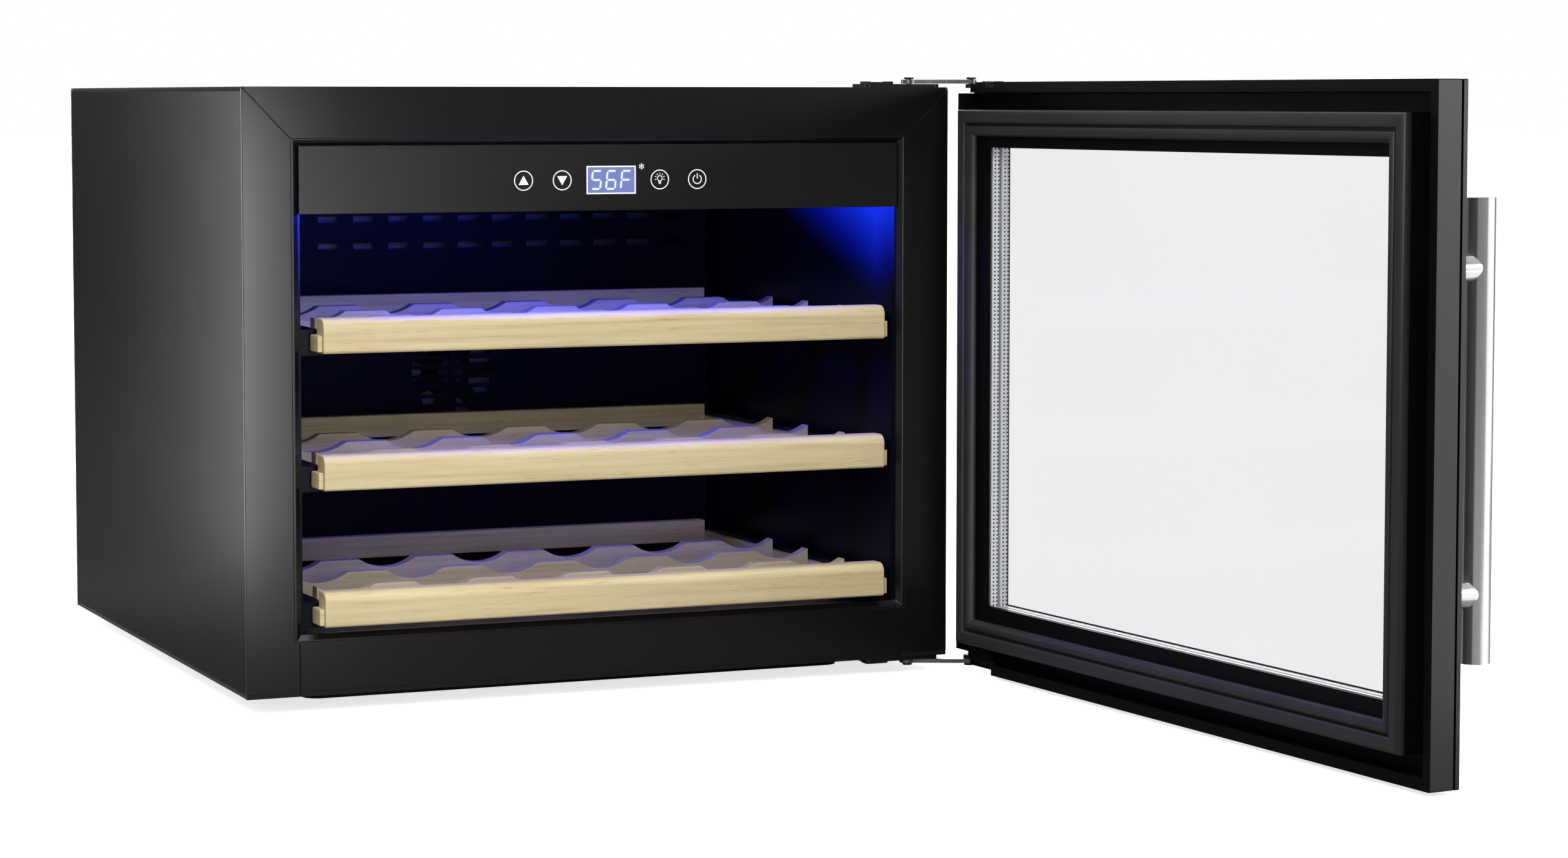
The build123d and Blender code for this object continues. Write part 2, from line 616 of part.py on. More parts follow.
def shelf_runners(side):
    """Channels on one liner wall that carry the side rails and stop them tipping."""
    runners = []
    y0 = SHELF_FRONT + SHELF_FRONT_THICKNESS + 2
    y1 = SHELF_BACK + 4
    gap = 0.3
    for top in SHELF_TOPS:
        z0 = top - RAIL_DROP - gap
        z1 = top - RAIL_DROP + RAIL_HEIGHT + gap
        x = RAIL_OUTER + 1
        parts = [
            (x, LINER_HALF, z0 - 3, z1 + 3),
            (RAIL_INNER + 3, x, z0 - 3, z0),
            (RAIL_INNER + 5, x, z1, z1 + 3),
        ]
        runner = None
        for near, far, low, high in parts:
            x0, x1 = sorted((side * near, side * far))
            piece = block(x0, x1, y0, y1, low, high)
            runner = piece if runner is None else runner + piece
        runners.append(runner)
    return runners


# ---- door, drawn shut ----
def door_frame():
    pocket_half = DOOR_CLEAR_HALF + 10.5
    z0 = DOOR_CLEAR_BOTTOM - 10.5
    z1 = DOOR_CLEAR_TOP + 10.5
    back = FRONT - RIM_FACE
    body = block(-DOOR_HALF, DOOR_HALF, FRONT - FRAME_FACE, back, DOOR_BOTTOM, DOOR_TOP)
    body = fillet(body.edges().filter_by(Axis.Y), 1.5)
    body += block(-GASKET_HALF, GASKET_HALF, back, FRONT - CARRIER_FACE, GASKET_BOTTOM, GASKET_TOP)
    rim = RIM_WIDTH
    groove = ring(DOOR_HALF - rim, DOOR_BOTTOM + rim, DOOR_TOP - rim, GASKET_HALF, GASKET_BOTTOM, GASKET_TOP,
                  FRONT - GROOVE_BOTTOM, back + 1)
    body -= groove
    # the groove is filled behind the lower hinge leaf, which is screwed up into it
    body += block(LEAF_X0 - 1, DOOR_HALF - rim, FRONT - GROOVE_BOTTOM, back,
                  DOOR_BOTTOM + rim - 1, GASKET_BOTTOM)
    inner = GASKET_HALF - GASKET_BAND
    body -= block(-inner, inner, FRONT - LIP_FACE, FRONT,
                  GASKET_BOTTOM + GASKET_BAND, GASKET_TOP - GASKET_BAND)
    body -= block(-pocket_half, pocket_half, FRONT - FRAME_FACE - 1, INNER_PANE + PANE + 0.2, z0, z1)
    body -= block(-DOOR_CLEAR_HALF, DOOR_CLEAR_HALF, FRONT - FRAME_FACE - 1, FRONT,
                  DOOR_CLEAR_BOTTOM, DOOR_CLEAR_TOP)
    for z in POST_HEIGHTS:
        body -= along_y(HANDLE_X, z, 7.0, FRONT - FRAME_FACE - 1, FRONT - FRAME_FACE + 3.5)
    for face, sign in HINGE_FACES:
        for x, depth in ((LEAF_X0 - 1, 0.5), (DOOR_HALF - DEEP_NOTCH, 4.6)):
            z2, z3 = sorted((face - sign * depth, face + sign * 20))
            body -= block(x, DOOR_HALF + 1, FRONT - LEAF_Y - 1, back + 1, z2, z3)
    return body


def outer_glass():
    pane = block(-DOOR_HALF, DOOR_HALF, FRONT - OUTER_FACE, FRONT - OUTER_FACE + OUTER_PANE,
                 DOOR_BOTTOM, DOOR_TOP)
    pane = fillet(pane.edges().filter_by(Axis.Y), 1.5)
    for z in POST_HEIGHTS:
        pane -= along_y(HANDLE_X, z, 4.0, FRONT - OUTER_FACE - 1, FRONT - FRAME_FACE)
    return pane


def glass_tape():
    """The dark bonding tape between the outer glass and the door frame."""
    edge = 2.5
    inner = DOOR_CLEAR_HALF + 12.0
    tape = ring(DOOR_HALF - edge, DOOR_BOTTOM + edge, DOOR_TOP - edge, inner,
                DOOR_CLEAR_BOTTOM - 12.0, DOOR_CLEAR_TOP + 12.0,
                FRONT - OUTER_FACE + OUTER_PANE, FRONT - FRAME_FACE)
    for z in POST_HEIGHTS:
        tape -= along_y(HANDLE_X, z, 7.0, FRONT - OUTER_FACE, FRONT - FRAME_FACE + 1)
    return tape


def unit_pane(front):
    """A pane of the insulating unit, its outer face at front."""
    margin = 9.5
    return block(-DOOR_CLEAR_HALF - margin, DOOR_CLEAR_HALF + margin, front, front + PANE,
                 DOOR_CLEAR_BOTTOM - margin, DOOR_CLEAR_TOP + margin)


def glazing_spacers():
    spacers = []
    for y in (GLAZING_FRONT, MIDDLE_PANE + PANE):
        spacers.append(ring(DOOR_CLEAR_HALF + 9, DOOR_CLEAR_BOTTOM - 9, DOOR_CLEAR_TOP + 9,
                            DOOR_CLEAR_HALF + 1.5, DOOR_CLEAR_BOTTOM - 1.5, DOOR_CLEAR_TOP + 1.5,
                            y, y + SPACER))
    return spacers


def door_gasket():
    """The magnetic seal: a broad band with two ridges and a valley between them."""
    y0 = FRONT - CARRIER_FACE
    y1 = FRONT - GASKET_FACE
    band = ring(GASKET_HALF, GASKET_BOTTOM, GASKET_TOP, GASKET_HALF - GASKET_BAND,
                GASKET_BOTTOM + GASKET_BAND, GASKET_TOP - GASKET_BAND, y0, y1)
    near = 10.0
    far = 12.5
    valley = ring(GASKET_HALF - near, GASKET_BOTTOM + near, GASKET_TOP - near, GASKET_HALF - far,
                  GASKET_BOTTOM + far, GASKET_TOP - far, y1 - 3.0, y1 + 1)
    step = ring(GASKET_HALF - far, GASKET_BOTTOM + far, GASKET_TOP - far, GASKET_HALF - GASKET_BAND - 1,
                GASKET_BOTTOM + GASKET_BAND + 1, GASKET_TOP - GASKET_BAND - 1, y1 - 1.0, y1 + 1)
    return band - valley - step


def handle_tube():
    z0 = DOOR_MIDDLE - HANDLE_LENGTH / 2
    z1 = DOOR_MIDDLE + HANDLE_LENGTH / 2
    tube = along_z(HANDLE_X, HANDLE_Y, HANDLE_RADIUS, z0, z1)
    tube -= along_z(HANDLE_X, HANDLE_Y, HANDLE_RADIUS - HANDLE_WALL, z0 - 1, z1 + 1)
    for z in POST_HEIGHTS:
        tube -= along_y(HANDLE_X, z, 2.5, HANDLE_Y, HANDLE_Y + HANDLE_RADIUS + 1)
    return tube


def handle_caps():
    """Discs pressed into the two ends of the tube."""
    z0 = DOOR_MIDDLE - HANDLE_LENGTH / 2
    z1 = DOOR_MIDDLE + HANDLE_LENGTH / 2
    radius = HANDLE_RADIUS - HANDLE_WALL
    return [along_z(HANDLE_X, HANDLE_Y, radius, z0, z0 + 4), along_z(HANDLE_X, HANDLE_Y, radius, z1 - 4, z1)]


def handle_posts():
    posts = []
    for z in POST_HEIGHTS:
        post = along_y(HANDLE_X, z, POST_RADIUS, HANDLE_Y, FRONT - OUTER_FACE)
        post -= along_z(HANDLE_X, HANDLE_Y, HANDLE_RADIUS, z - 20, z + 20)
        posts.append(post - along_y(HANDLE_X, z, 2.5, HANDLE_Y, FRONT - OUTER_FACE + 1))
    return posts


def handle_screws():
    screws = []
    for z in POST_HEIGHTS:
        screw = along_y(HANDLE_X, z, 2.5, HANDLE_Y + HANDLE_RADIUS - HANDLE_WALL - 1,
                        FRONT - OUTER_FACE + OUTER_PANE)
        head = along_y(HANDLE_X, z, 5.0, FRONT - OUTER_FACE + OUTER_PANE, FRONT - OUTER_FACE + OUTER_PANE + 4)
        screws.append(screw + head)
    return screws


# ---- hinges ----
def stack(face, sign, low, high):
    """Two heights counted outwards from a hinge face."""
    return sorted((face + sign * low, face + sign * high))


def hinge_pin(pivot, face, sign):
    """A riveted pin through the arm, with a head outside it."""
    top = HINGE_PLATE + LEVEL_GAP + ARM_THICKNESS + LEVEL_GAP
    z0, z1 = stack(face, sign, HINGE_PLATE - 0.5, top + 0.2)
    z2, z3 = stack(face, sign, top, top + PIN_HEAD)
    return along_z(*pivot, PIN_RADIUS, z0, z1) + along_z(*pivot, 3.6, z2, z3)


def hinge_bracket(face, sign):
    z0, z1 = stack(face, sign, 0, HINGE_PLATE)
    plate = block(BRACKET_X0, BRACKET_X1, FRONT + BRACKET_FRONT, FRONT + BRACKET_DEPTH, z0, z1)
    plate = fillet(plate.edges().filter_by(Axis.Z), 5.0)
    z2, z3 = stack(face, sign, HINGE_PLATE, HINGE_PLATE + 1.5)
    stop = block(BRACKET_X0 + 2, ARM_PIVOT_X - 20, FRONT + 3.5, FRONT + 16, z2, z3)
    plate += fillet(stop.edges().filter_by(Axis.Z), 2.0)
    for x, y in BRACKET_SCREWS:
        plate -= along_z(x, y, SCREW_CLEARANCE, face - 10, face + 10)
    return plate + hinge_pin(ARM_PIVOT, face, sign)


def hinge_arm(face, sign):
    """A flat link with a hole at each end, grooved along its edge like two plates riveted together."""
    low = HINGE_PLATE + LEVEL_GAP
    z0, z1 = stack(face, sign, low, low + ARM_THICKNESS)
    dx = DOOR_PIVOT[0] - ARM_PIVOT[0]
    dy = DOOR_PIVOT[1] - ARM_PIVOT[1]
    length = math.hypot(dx, dy)
    turn = math.degrees(math.atan2(dy, dx))
    near = 6.0
    far = 4.0
    link = along_z(0, 0, near, z0, z1) + along_z(length, 0, far, z0, z1)
    link += block(0, length, -far, far, z0, z1)
    middle = (z0 + z1) / 2
    slot = block(10, length - 8, far - 1.2, far + 5, middle - 0.4, middle + 0.4)
    link -= slot
    link -= mirror(slot, Plane.XZ)
    for x in (0, length):
        link -= along_z(x, 0, PIN_RADIUS + RUNNING_GAP, z0 - 1, z1 + 1)
    return Pos(*ARM_PIVOT) * Rot(0, 0, turn) * link


def hinge_leaf(face, sign):
    """The plate let into the door's edge, with the pin that the arm turns on."""
    z0, z1 = stack(face, sign, -0.5, HINGE_PLATE)
    plate = block(LEAF_X0, DOOR_PIVOT_X + 4, FRONT - LEAF_Y, FRONT - LEAF_REAR, z0, z1)
    plate += along_z(*DOOR_PIVOT, 4.0, z0, z1)
    for x, y in LEAF_SCREWS:
        plate -= along_z(x, y, SCREW_CLEARANCE, face - 10, face + 10)
    return plate + hinge_pin(DOOR_PIVOT, face, sign)


def hinge_screws(places, length):
    """Pan-head screws through the plates of both hinges."""
    screws = []
    for face, sign in HINGE_FACES:
        for x, y in places:
            z0, z1 = stack(face, sign, -length, HINGE_PLATE)
            z2, z3 = stack(face, sign, HINGE_PLATE, HINGE_PLATE + SCREW_HEAD_HEIGHT)
            screws.append(along_z(x, y, SCREW_RADIUS, z0, z1) + along_z(x, y, SCREW_HEAD_RADIUS, z2, z3))
    return screws


def drilled(shape, places, length, faces):
    """The shape with a hole for each screw that enters it."""
    for face, sign in faces:
        for x, y in places:
            z0, z1 = stack(face, sign, -length - 0.1, 0.5)
            shape -= along_z(x, y, SCREW_RADIUS, z0, z1)
    return shape


# ---- assembly ----
fixed = {
    "outer_shell": drilled(outer_shell(), BRACKET_SCREWS, BRACKET_SCREW_LENGTH, TOP_FACE),
    "base_pan": drilled(base_pan(), BRACKET_SCREWS, BRACKET_SCREW_LENGTH, BOTTOM_FACE),
    "plinth_frame": plinth_frame(),
    "frame_top_rail": frame_top_rail(),
    "frame_left_stile": stile(-1),
    "frame_right_stile": stile(1),
    "frame_bottom_rail": frame_bottom_rail(),
    "stile_caps": stile_caps(),
    "opening_trim": opening_trim(),
    "liner": liner(),
    "insulation_foam": drilled(insulation_foam(), BRACKET_SCREWS, BRACKET_SCREW_LENGTH, HINGE_FACES),
    "rear_bulkhead": rear_bulkhead(),
    "back_panel": back_panel(),
    "power_inlet": power_inlet(),
    "control_panel": control_panel(),
    "display_window": display_window(),
    "control_board": control_board(),
    "light_lens": light_lens(),
    "duct_cover": duct_cover(),
    "evaporator": evaporator(),
    "circulation_fan_motor": circulation_fan_motor(),
    "circulation_fan": circulation_fan(),
    "compressor": compressor(),
    "compressor_grommets": compressor_grommets(),
    "drip_tray": drip_tray(),
    "condenser": condenser(),
    "cooling_fan_shroud": cooling_fan_shroud(),
    "cooling_fan": cooling_fan(),
    "main_board": main_board(),
    "shelf_runners_left": shelf_runners(-1),
    "shelf_runners_right": shelf_runners(1),
    "bracket_screws": hinge_screws(BRACKET_SCREWS, BRACKET_SCREW_LENGTH),
}
for name, top in zip(SHELF_NAMES, SHELF_TOPS):
    fixed[f"shelf_{name}_front"] = shelf_front(top)
    fixed[f"shelf_{name}_rails"] = shelf_rails(top)
    fixed[f"shelf_{name}_slats"] = shelf_slats(top)

on_door = {
    "door_frame": drilled(door_frame(), LEAF_SCREWS, LEAF_SCREW_LENGTH, HINGE_FACES),
    "outer_glass": outer_glass(),
    "glass_tape": glass_tape(),
    "middle_pane": unit_pane(MIDDLE_PANE),
    "inner_pane": unit_pane(INNER_PANE),
    "glazing_spacers": glazing_spacers(),
    "door_gasket": door_gasket(),
    "handle_tube": handle_tube(),
    "handle_caps": handle_caps(),
    "handle_posts": handle_posts(),
    "handle_screws": handle_screws(),
    "leaf_screws": hinge_screws(LEAF_SCREWS, LEAF_SCREW_LENGTH),
}
on_arm = {}
for label, (face, sign) in zip(("top", "bottom"), HINGE_FACES):
    fixed[f"hinge_bracket_{label}"] = hinge_bracket(face, sign)
    on_arm[f"hinge_arm_{label}"] = hinge_arm(face, sign)
    on_door[f"hinge_leaf_{label}"] = hinge_leaf(face, sign)

nodes = dict(fixed)
for name, shape in on_arm.items():
    nodes[name] = with_arm(shape)
for name, shape in on_door.items():
    solids = shape if isinstance(shape, list) else [shape]
    nodes[name] = [with_door(solid) for solid in solids]

os.makedirs("parts", exist_ok=True)
for name, shape in nodes.items():
    solids = shape if isinstance(shape, list) else [shape]
    whole = solids[0] if len(solids) == 1 else Compound(children=solids)
    export_step(whole, f"parts/{name}.step")
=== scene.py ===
import json
import math

import bmesh
import bpy
from mathutils import Matrix, Vector


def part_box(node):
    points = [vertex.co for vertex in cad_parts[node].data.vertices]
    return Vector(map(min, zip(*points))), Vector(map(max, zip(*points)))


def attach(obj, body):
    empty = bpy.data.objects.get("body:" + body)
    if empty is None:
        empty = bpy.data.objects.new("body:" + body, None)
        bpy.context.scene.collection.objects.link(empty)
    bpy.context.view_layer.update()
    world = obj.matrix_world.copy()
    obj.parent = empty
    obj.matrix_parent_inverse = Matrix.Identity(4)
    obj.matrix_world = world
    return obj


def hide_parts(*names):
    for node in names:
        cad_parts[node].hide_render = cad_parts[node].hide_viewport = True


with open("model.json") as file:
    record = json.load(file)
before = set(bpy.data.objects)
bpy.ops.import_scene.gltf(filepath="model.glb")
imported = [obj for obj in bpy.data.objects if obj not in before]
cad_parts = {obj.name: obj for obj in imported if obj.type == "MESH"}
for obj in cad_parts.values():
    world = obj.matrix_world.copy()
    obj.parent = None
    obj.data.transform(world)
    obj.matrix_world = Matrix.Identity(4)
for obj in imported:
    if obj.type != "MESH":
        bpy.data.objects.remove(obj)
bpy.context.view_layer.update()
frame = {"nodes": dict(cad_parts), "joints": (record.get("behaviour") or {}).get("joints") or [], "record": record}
nodes = frame["nodes"]
joints = {joint["name"]: joint for joint in frame["joints"]}
MM = 0.001
SHELVES = ("bottom", "middle", "top")

# ---- places taken from the frame ----
CABINET_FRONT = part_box("frame_top_rail")[0].y
PANEL_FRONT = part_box("control_panel")[0].y
DISPLAY_LOW, DISPLAY_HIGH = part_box("display_window")


def about(point, degrees):
    """A turn about a vertical axis through point."""
    pivot = Matrix.Translation((point[0], point[1], 0))
    return pivot @ Matrix.Rotation(math.radians(degrees), 4, "Z") @ pivot.inverted()


# The door is described shut, and this matrix brings it to its rest pose.
ARM = joints["arm_top_swing"]
SWING = joints["door_swing"]
ARM_TURN = -ARM["range_deg"][0]
OWN_TURN = -SWING["range_deg"][0]
SHUT_PIVOT = about(ARM["pos_m"], -ARM_TURN) @ Vector(SWING["pos_m"])
TO_REST = about(ARM["pos_m"], ARM_TURN) @ about(SHUT_PIVOT, OWN_TURN)
TO_SHUT = TO_REST.inverted()


def shut_box(node):
    """Lowest and highest corners of a door node, in the shut door's own directions."""
    points = [TO_SHUT @ v.co for v in nodes[node].data.vertices]
    low = Vector([min(p[i] for p in points) for i in range(3)])
    high = Vector([max(p[i] for p in points) for i in range(3)])
    return low, high


# ---- node graphs ----
# Sockets of the Mix node that carry colour.
MIX_A = 6
MIX_B = 7
MIX_RESULT = 2


class Graph:
    """A material with a Principled shader and short ways to add nodes."""

    def __init__(self, name, color, roughness, metallic=0.0, specular=0.5):
        self.material = bpy.data.materials.new(name)
        self.material.use_nodes = True
        self.tree = self.material.node_tree
        self.shader = self.tree.nodes["Principled BSDF"]
        self.set("Base Color", (*color, 1.0))
        self.set("Roughness", roughness)
        self.set("Metallic", metallic)
        self.set("Specular IOR Level", specular)
        self.place = None

    def set(self, socket, value):
        """A value that is the same all over the surface."""
        self.shader.inputs[socket].default_value = value

    def link(self, output, target):
        self.tree.links.new(output, target)

    def coords(self, scale=(1, 1, 1), rotation=(0, 0, 0)):
        """Object coordinates, which keep their place when the object moves."""
        if self.place is None:
            self.place = self.tree.nodes.new("ShaderNodeTexCoord")
        mapping = self.tree.nodes.new("ShaderNodeMapping")
        mapping.inputs["Scale"].default_value = scale
        mapping.inputs["Rotation"].default_value = rotation
        self.link(self.place.outputs["Object"], mapping.inputs["Vector"])
        return mapping.outputs["Vector"]

    def noise(self, scale, stretch=(1, 1, 1), detail=3.0, rotation=(0, 0, 0)):
        node = self.tree.nodes.new("ShaderNodeTexNoise")
        node.inputs["Scale"].default_value = scale
        node.inputs["Detail"].default_value = detail
        self.link(self.coords(stretch, rotation), node.inputs["Vector"])
        return node.outputs["Fac"]

    def cells(self, scale, output="Distance"):
        node = self.tree.nodes.new("ShaderNodeTexVoronoi")
        node.inputs["Scale"].default_value = scale
        self.link(self.coords(), node.inputs["Vector"])
        return node.outputs[output]

    def ramp(self, factor, stops):
        node = self.tree.nodes.new("ShaderNodeValToRGB")
        elements = node.color_ramp.elements
        while len(elements) < len(stops):
            elements.new(0.5)
        for element, (place, color) in zip(elements, stops):
            element.position = place
            element.color = (*color, 1.0) if isinstance(color, tuple) else (color, color, color, 1.0)
        self.link(factor, node.inputs["Fac"])
        return node.outputs["Color"]

    def mix(self, mode, factor, a, b):
        node = self.tree.nodes.new("ShaderNodeMix")
        node.data_type = "RGBA"
        node.blend_type = mode
        if isinstance(factor, float):
            node.inputs[0].default_value = factor
        else:
            self.link(factor, node.inputs[0])
        self.link(a, node.inputs[MIX_A])
        self.link(b, node.inputs[MIX_B])
        return node.outputs[MIX_RESULT]

    def math(self, operation, a, b=None):
        """Arithmetic on numbers or outputs. b is left out for an operation on one value."""
        node = self.tree.nodes.new("ShaderNodeMath")
        node.operation = operation
        for value, socket in ((a, node.inputs[0]), (b, node.inputs[1])):
            if value is None:
                continue
            if isinstance(value, (int, float)):
                socket.default_value = value
            else:
                self.link(value, socket)
        return node.outputs[0]

    def color(self, output):
        self.link(output, self.shader.inputs["Base Color"])

    def roughness(self, output):
        self.link(output, self.shader.inputs["Roughness"])

    def bump(self, height, strength, distance):
        node = self.tree.nodes.new("ShaderNodeBump")
        node.inputs["Strength"].default_value = strength
        node.inputs["Distance"].default_value = distance
        self.link(height, node.inputs["Height"])
        self.link(node.outputs["Normal"], self.shader.inputs["Normal"])


# ---- materials ----
def coated(name, dark, light, rough, specular, grain, depth):
    """Paint or moulded plastic: faint mottling from dark to light, uneven gloss and a fine grain."""
    g = Graph(name, dark, rough[0], specular=specular)
    g.color(g.ramp(g.noise(700.0, detail=4.0), [(0.3, dark), (0.7, light)]))
    g.roughness(g.ramp(g.noise(14.0), [(0.25, rough[0]), (0.75, rough[1])]))
    g.bump(g.noise(grain, detail=2.0), 0.35, depth)
    return g.material


def brushed(name, tone, rough, stretch, metallic=1.0):
    """Metal with fine scratches, long along the axis where stretch is smallest."""
    g = Graph(name, tone, rough[0], metallic=metallic)
    lines = g.noise(40.0, stretch, detail=5.0)
    darker = tuple(0.86 * c for c in tone)
    g.color(g.ramp(lines, [(0.3, darker), (0.7, tone)]))
    g.roughness(g.ramp(lines, [(0.25, rough[0]), (0.75, rough[1])]))
    g.bump(lines, 0.12, 0.00005)
    return g.material


BEECH_GRAIN = [(0.22, (0.49, 0.38, 0.200)), (0.47, (0.61, 0.515, 0.305)), (0.8, (0.69, 0.605, 0.385))]
BEECH_BANDS = [(0.3, (0.86, 0.82, 0.76)), (0.7, (1.0, 1.0, 1.0))]
BEECH_FLECKS = [(0.62, (1.0, 1.0, 1.0)), (0.72, (0.80, 0.72, 0.62))]
FLECK_STRETCH = (2.4, 1.6, 1.6)


def beech(name, stretch):
    """Pale beech: long soft grain, wide bands and short dark flecks."""
    g = Graph(name, (0.66, 0.56, 0.32), 0.5, specular=0.3)
    grain = g.noise(1.0, stretch, detail=8.0)
    bands = g.noise(0.32, stretch)
    flecks = g.noise(2.6, tuple(s * f for s, f in zip(stretch, FLECK_STRETCH)), detail=2.0)
    tone = g.ramp(grain, BEECH_GRAIN)
    wide = g.ramp(bands, BEECH_BANDS)
    spots = g.ramp(flecks, BEECH_FLECKS)
    g.color(g.mix("MULTIPLY", 1.0, g.mix("MULTIPLY", 0.8, tone, wide), spots))
    g.roughness(g.ramp(grain, [(0.3, 0.56), (0.7, 0.42)]))
    g.bump(grain, 0.25, 0.00012)
    return g.material


def spangled(name):
    """Galvanised sheet: crystals of different brightness."""
    g = Graph(name, (0.5, 0.51, 0.52), 0.4, metallic=1.0)
    crystals = g.cells(110.0, "Color")
    g.color(g.ramp(crystals, [(0.15, (0.36, 0.37, 0.385)), (0.85, (0.58, 0.59, 0.60))]))
    g.roughness(g.ramp(crystals, [(0.2, 0.34), (0.8, 0.52)]))
    g.bump(g.noise(60.0), 0.1, 0.0001)
    return g.material


def clear_glass(name):
    """Float glass with a trace of grey."""
    g = Graph(name, (0.95, 0.95, 0.95), 0.0, specular=0.1)
    g.set("Transmission Weight", 1.0)
    g.set("IOR", 1.05)
    g.color(g.ramp(g.noise(2.0), [(0.3, (0.942, 0.944, 0.947)), (0.7, (0.952, 0.954, 0.957))]))
    return g.material


HOLE_PITCH = 3.0 * MM
HOLE_RADIUS = 0.75 * MM


def perforated(name):
    """The spacer bar: bright aluminium with rows of small round holes, drawn as dark dots of painted shade."""
    g = Graph(name, (0.92, 0.93, 0.94), 0.34, metallic=0.15)
    turn = (0.0, 0.0, -math.radians(ARM_TURN + OWN_TURN))
    place = g.tree.nodes.new("ShaderNodeSeparateXYZ")
    g.link(g.coords((1, 1, 1), turn), place.inputs[0])
    across = g.math("PINGPONG", place.outputs["Y"], HOLE_PITCH / 2)
    along = g.math("PINGPONG", g.math("ADD", place.outputs["X"], place.outputs["Z"]), HOLE_PITCH / 2)
    distance = g.math("ADD", g.math("POWER", across, 2.0), g.math("POWER", along, 2.0))
    # The holes are not cut: each is a dark dot, painted shade of the hollow bar behind it.
    painted_hole_shade = g.math("LESS_THAN", distance, HOLE_RADIUS ** 2)
    g.color(g.ramp(painted_hole_shade, [(0.0, (0.92, 0.93, 0.94)), (1.0, (0.06, 0.06, 0.065))]))
    g.roughness(g.ramp(g.noise(300.0, (1, 1, 0.1)), [(0.3, 0.24), (0.7, 0.36)]))
    g.bump(g.math("SUBTRACT", 1.0, painted_hole_shade), 0.5, 0.0003)
    return g.material


def glowing(name, tone, strength, low=0.85):
    """A lit surface, slightly uneven like a diffused lamp."""
    g = Graph(name, tone, 0.35)
    shade = tuple(low * c for c in tone)
    patch = g.ramp(g.noise(260.0), [(0.3, shade), (0.7, tone)])
    g.color(patch)
    g.link(patch, g.shader.inputs["Emission Color"])
    g.set("Emission Strength", strength)
    return g.material


def rubber(name, tone, rough=(0.5, 0.62), specular=0.3):
    """Dull rubber, a little lighter in places."""
    g = Graph(name, tone, rough[0], specular=specular)
    lighter = tuple(1.35 * c for c in tone)
    g.color(g.ramp(g.noise(22.0), [(0.3, tone), (0.75, lighter)]))
    g.roughness(g.ramp(g.noise(60.0), [(0.3, rough[0]), (0.7, rough[1])]))
    g.bump(g.noise(1500.0, detail=2.0), 0.2, 0.00008)
    return g.material


LINER_TONES = [(0.3, (0.0016, 0.0018, 0.0050)), (0.7, (0.0028, 0.0032, 0.0085))]
# The lamp's blue spill on the liner is painted light: an emitting colour on the walls, not light from the lens.
PAINTED_SPILL_TONES = [(0.0, (0.0, 0.0, 0.0)), (0.15, (0.001, 0.004, 0.22)), (0.6, (0.006, 0.03, 0.80))]
SPILL_CLEARANCE = 75 * MM   # from the lens's end to the spill, which keeps it on the side walls
SPILL_DROP = 11.0           # how fast it fades downwards, per metre
SPILL_SPREAD = 4.0          # how fast it fades to the front and rear, per metre


def liner_painted_spill(name, lens):
    """Black liner plastic, with the lamp's blue spill painted as a glow on the upper ends of the side walls."""
    g = Graph(name, (0.0022, 0.0025, 0.0065), 0.31, specular=0.08)
    g.color(g.ramp(g.noise(700.0, detail=4.0), LINER_TONES))
    g.roughness(g.ramp(g.noise(14.0), [(0.25, 0.28), (0.75, 0.34)]))
    g.bump(g.noise(420.0, detail=2.0), 0.35, 0.00030)
    place = g.tree.nodes.new("ShaderNodeSeparateXYZ")
    g.link(g.coords(), place.inputs[0])
    low, high = lens
    outward = g.math("SUBTRACT", g.math("ABSOLUTE", place.outputs["X"]), high.x + SPILL_CLEARANCE)
    drop = g.math("SUBTRACT", high.z, place.outputs["Z"])
    along = g.math("ABSOLUTE", g.math("SUBTRACT", place.outputs["Y"], (low.y + high.y) / 2))
    fade = g.math("ADD", g.math("MULTIPLY", drop, SPILL_DROP), g.math("MULTIPLY", along, SPILL_SPREAD))
    near = g.math("MAXIMUM", g.math("SUBTRACT", 1.0, fade), 0.0)
    spill = g.math("MULTIPLY", g.math("POWER", near, 2.0), g.math("GREATER_THAN", outward, 0.0))
    speckle = g.math("ADD", 0.75, g.math("MULTIPLY", g.noise(520.0), 0.5))
    # Painted glow of the lamp's spill, set by place on the walls.
    glow = g.ramp(g.math("MULTIPLY", spill, speckle), PAINTED_SPILL_TONES)
    g.link(glow, g.shader.inputs["Emission Color"])
    g.set("Emission Strength", 1.0)
    return g.material


BOARD_TONES = [(0.4, (0.015, 0.095, 0.04)), (0.55, (0.03, 0.19, 0.08)), (0.95, (0.35, 0.3, 0.14))]


def circuit_board(name):
    """Green board with patches of copper."""
    g = Graph(name, (0.02, 0.12, 0.05), 0.42)
    traces = g.cells(160.0, "Color")
    g.color(g.ramp(traces, BOARD_TONES))
    g.bump(traces, 0.2, 0.0001)
    return g.material


def foamed(name):
    """Yellowish rigid foam with open pores."""
    g = Graph(name, (0.74, 0.66, 0.44), 0.9, specular=0.2)
    pores = g.cells(420.0)
    g.color(g.ramp(pores, [(0.0, (0.52, 0.44, 0.27)), (0.5, (0.76, 0.68, 0.46))]))
    g.bump(pores, 0.6, 0.0006)
    return g.material


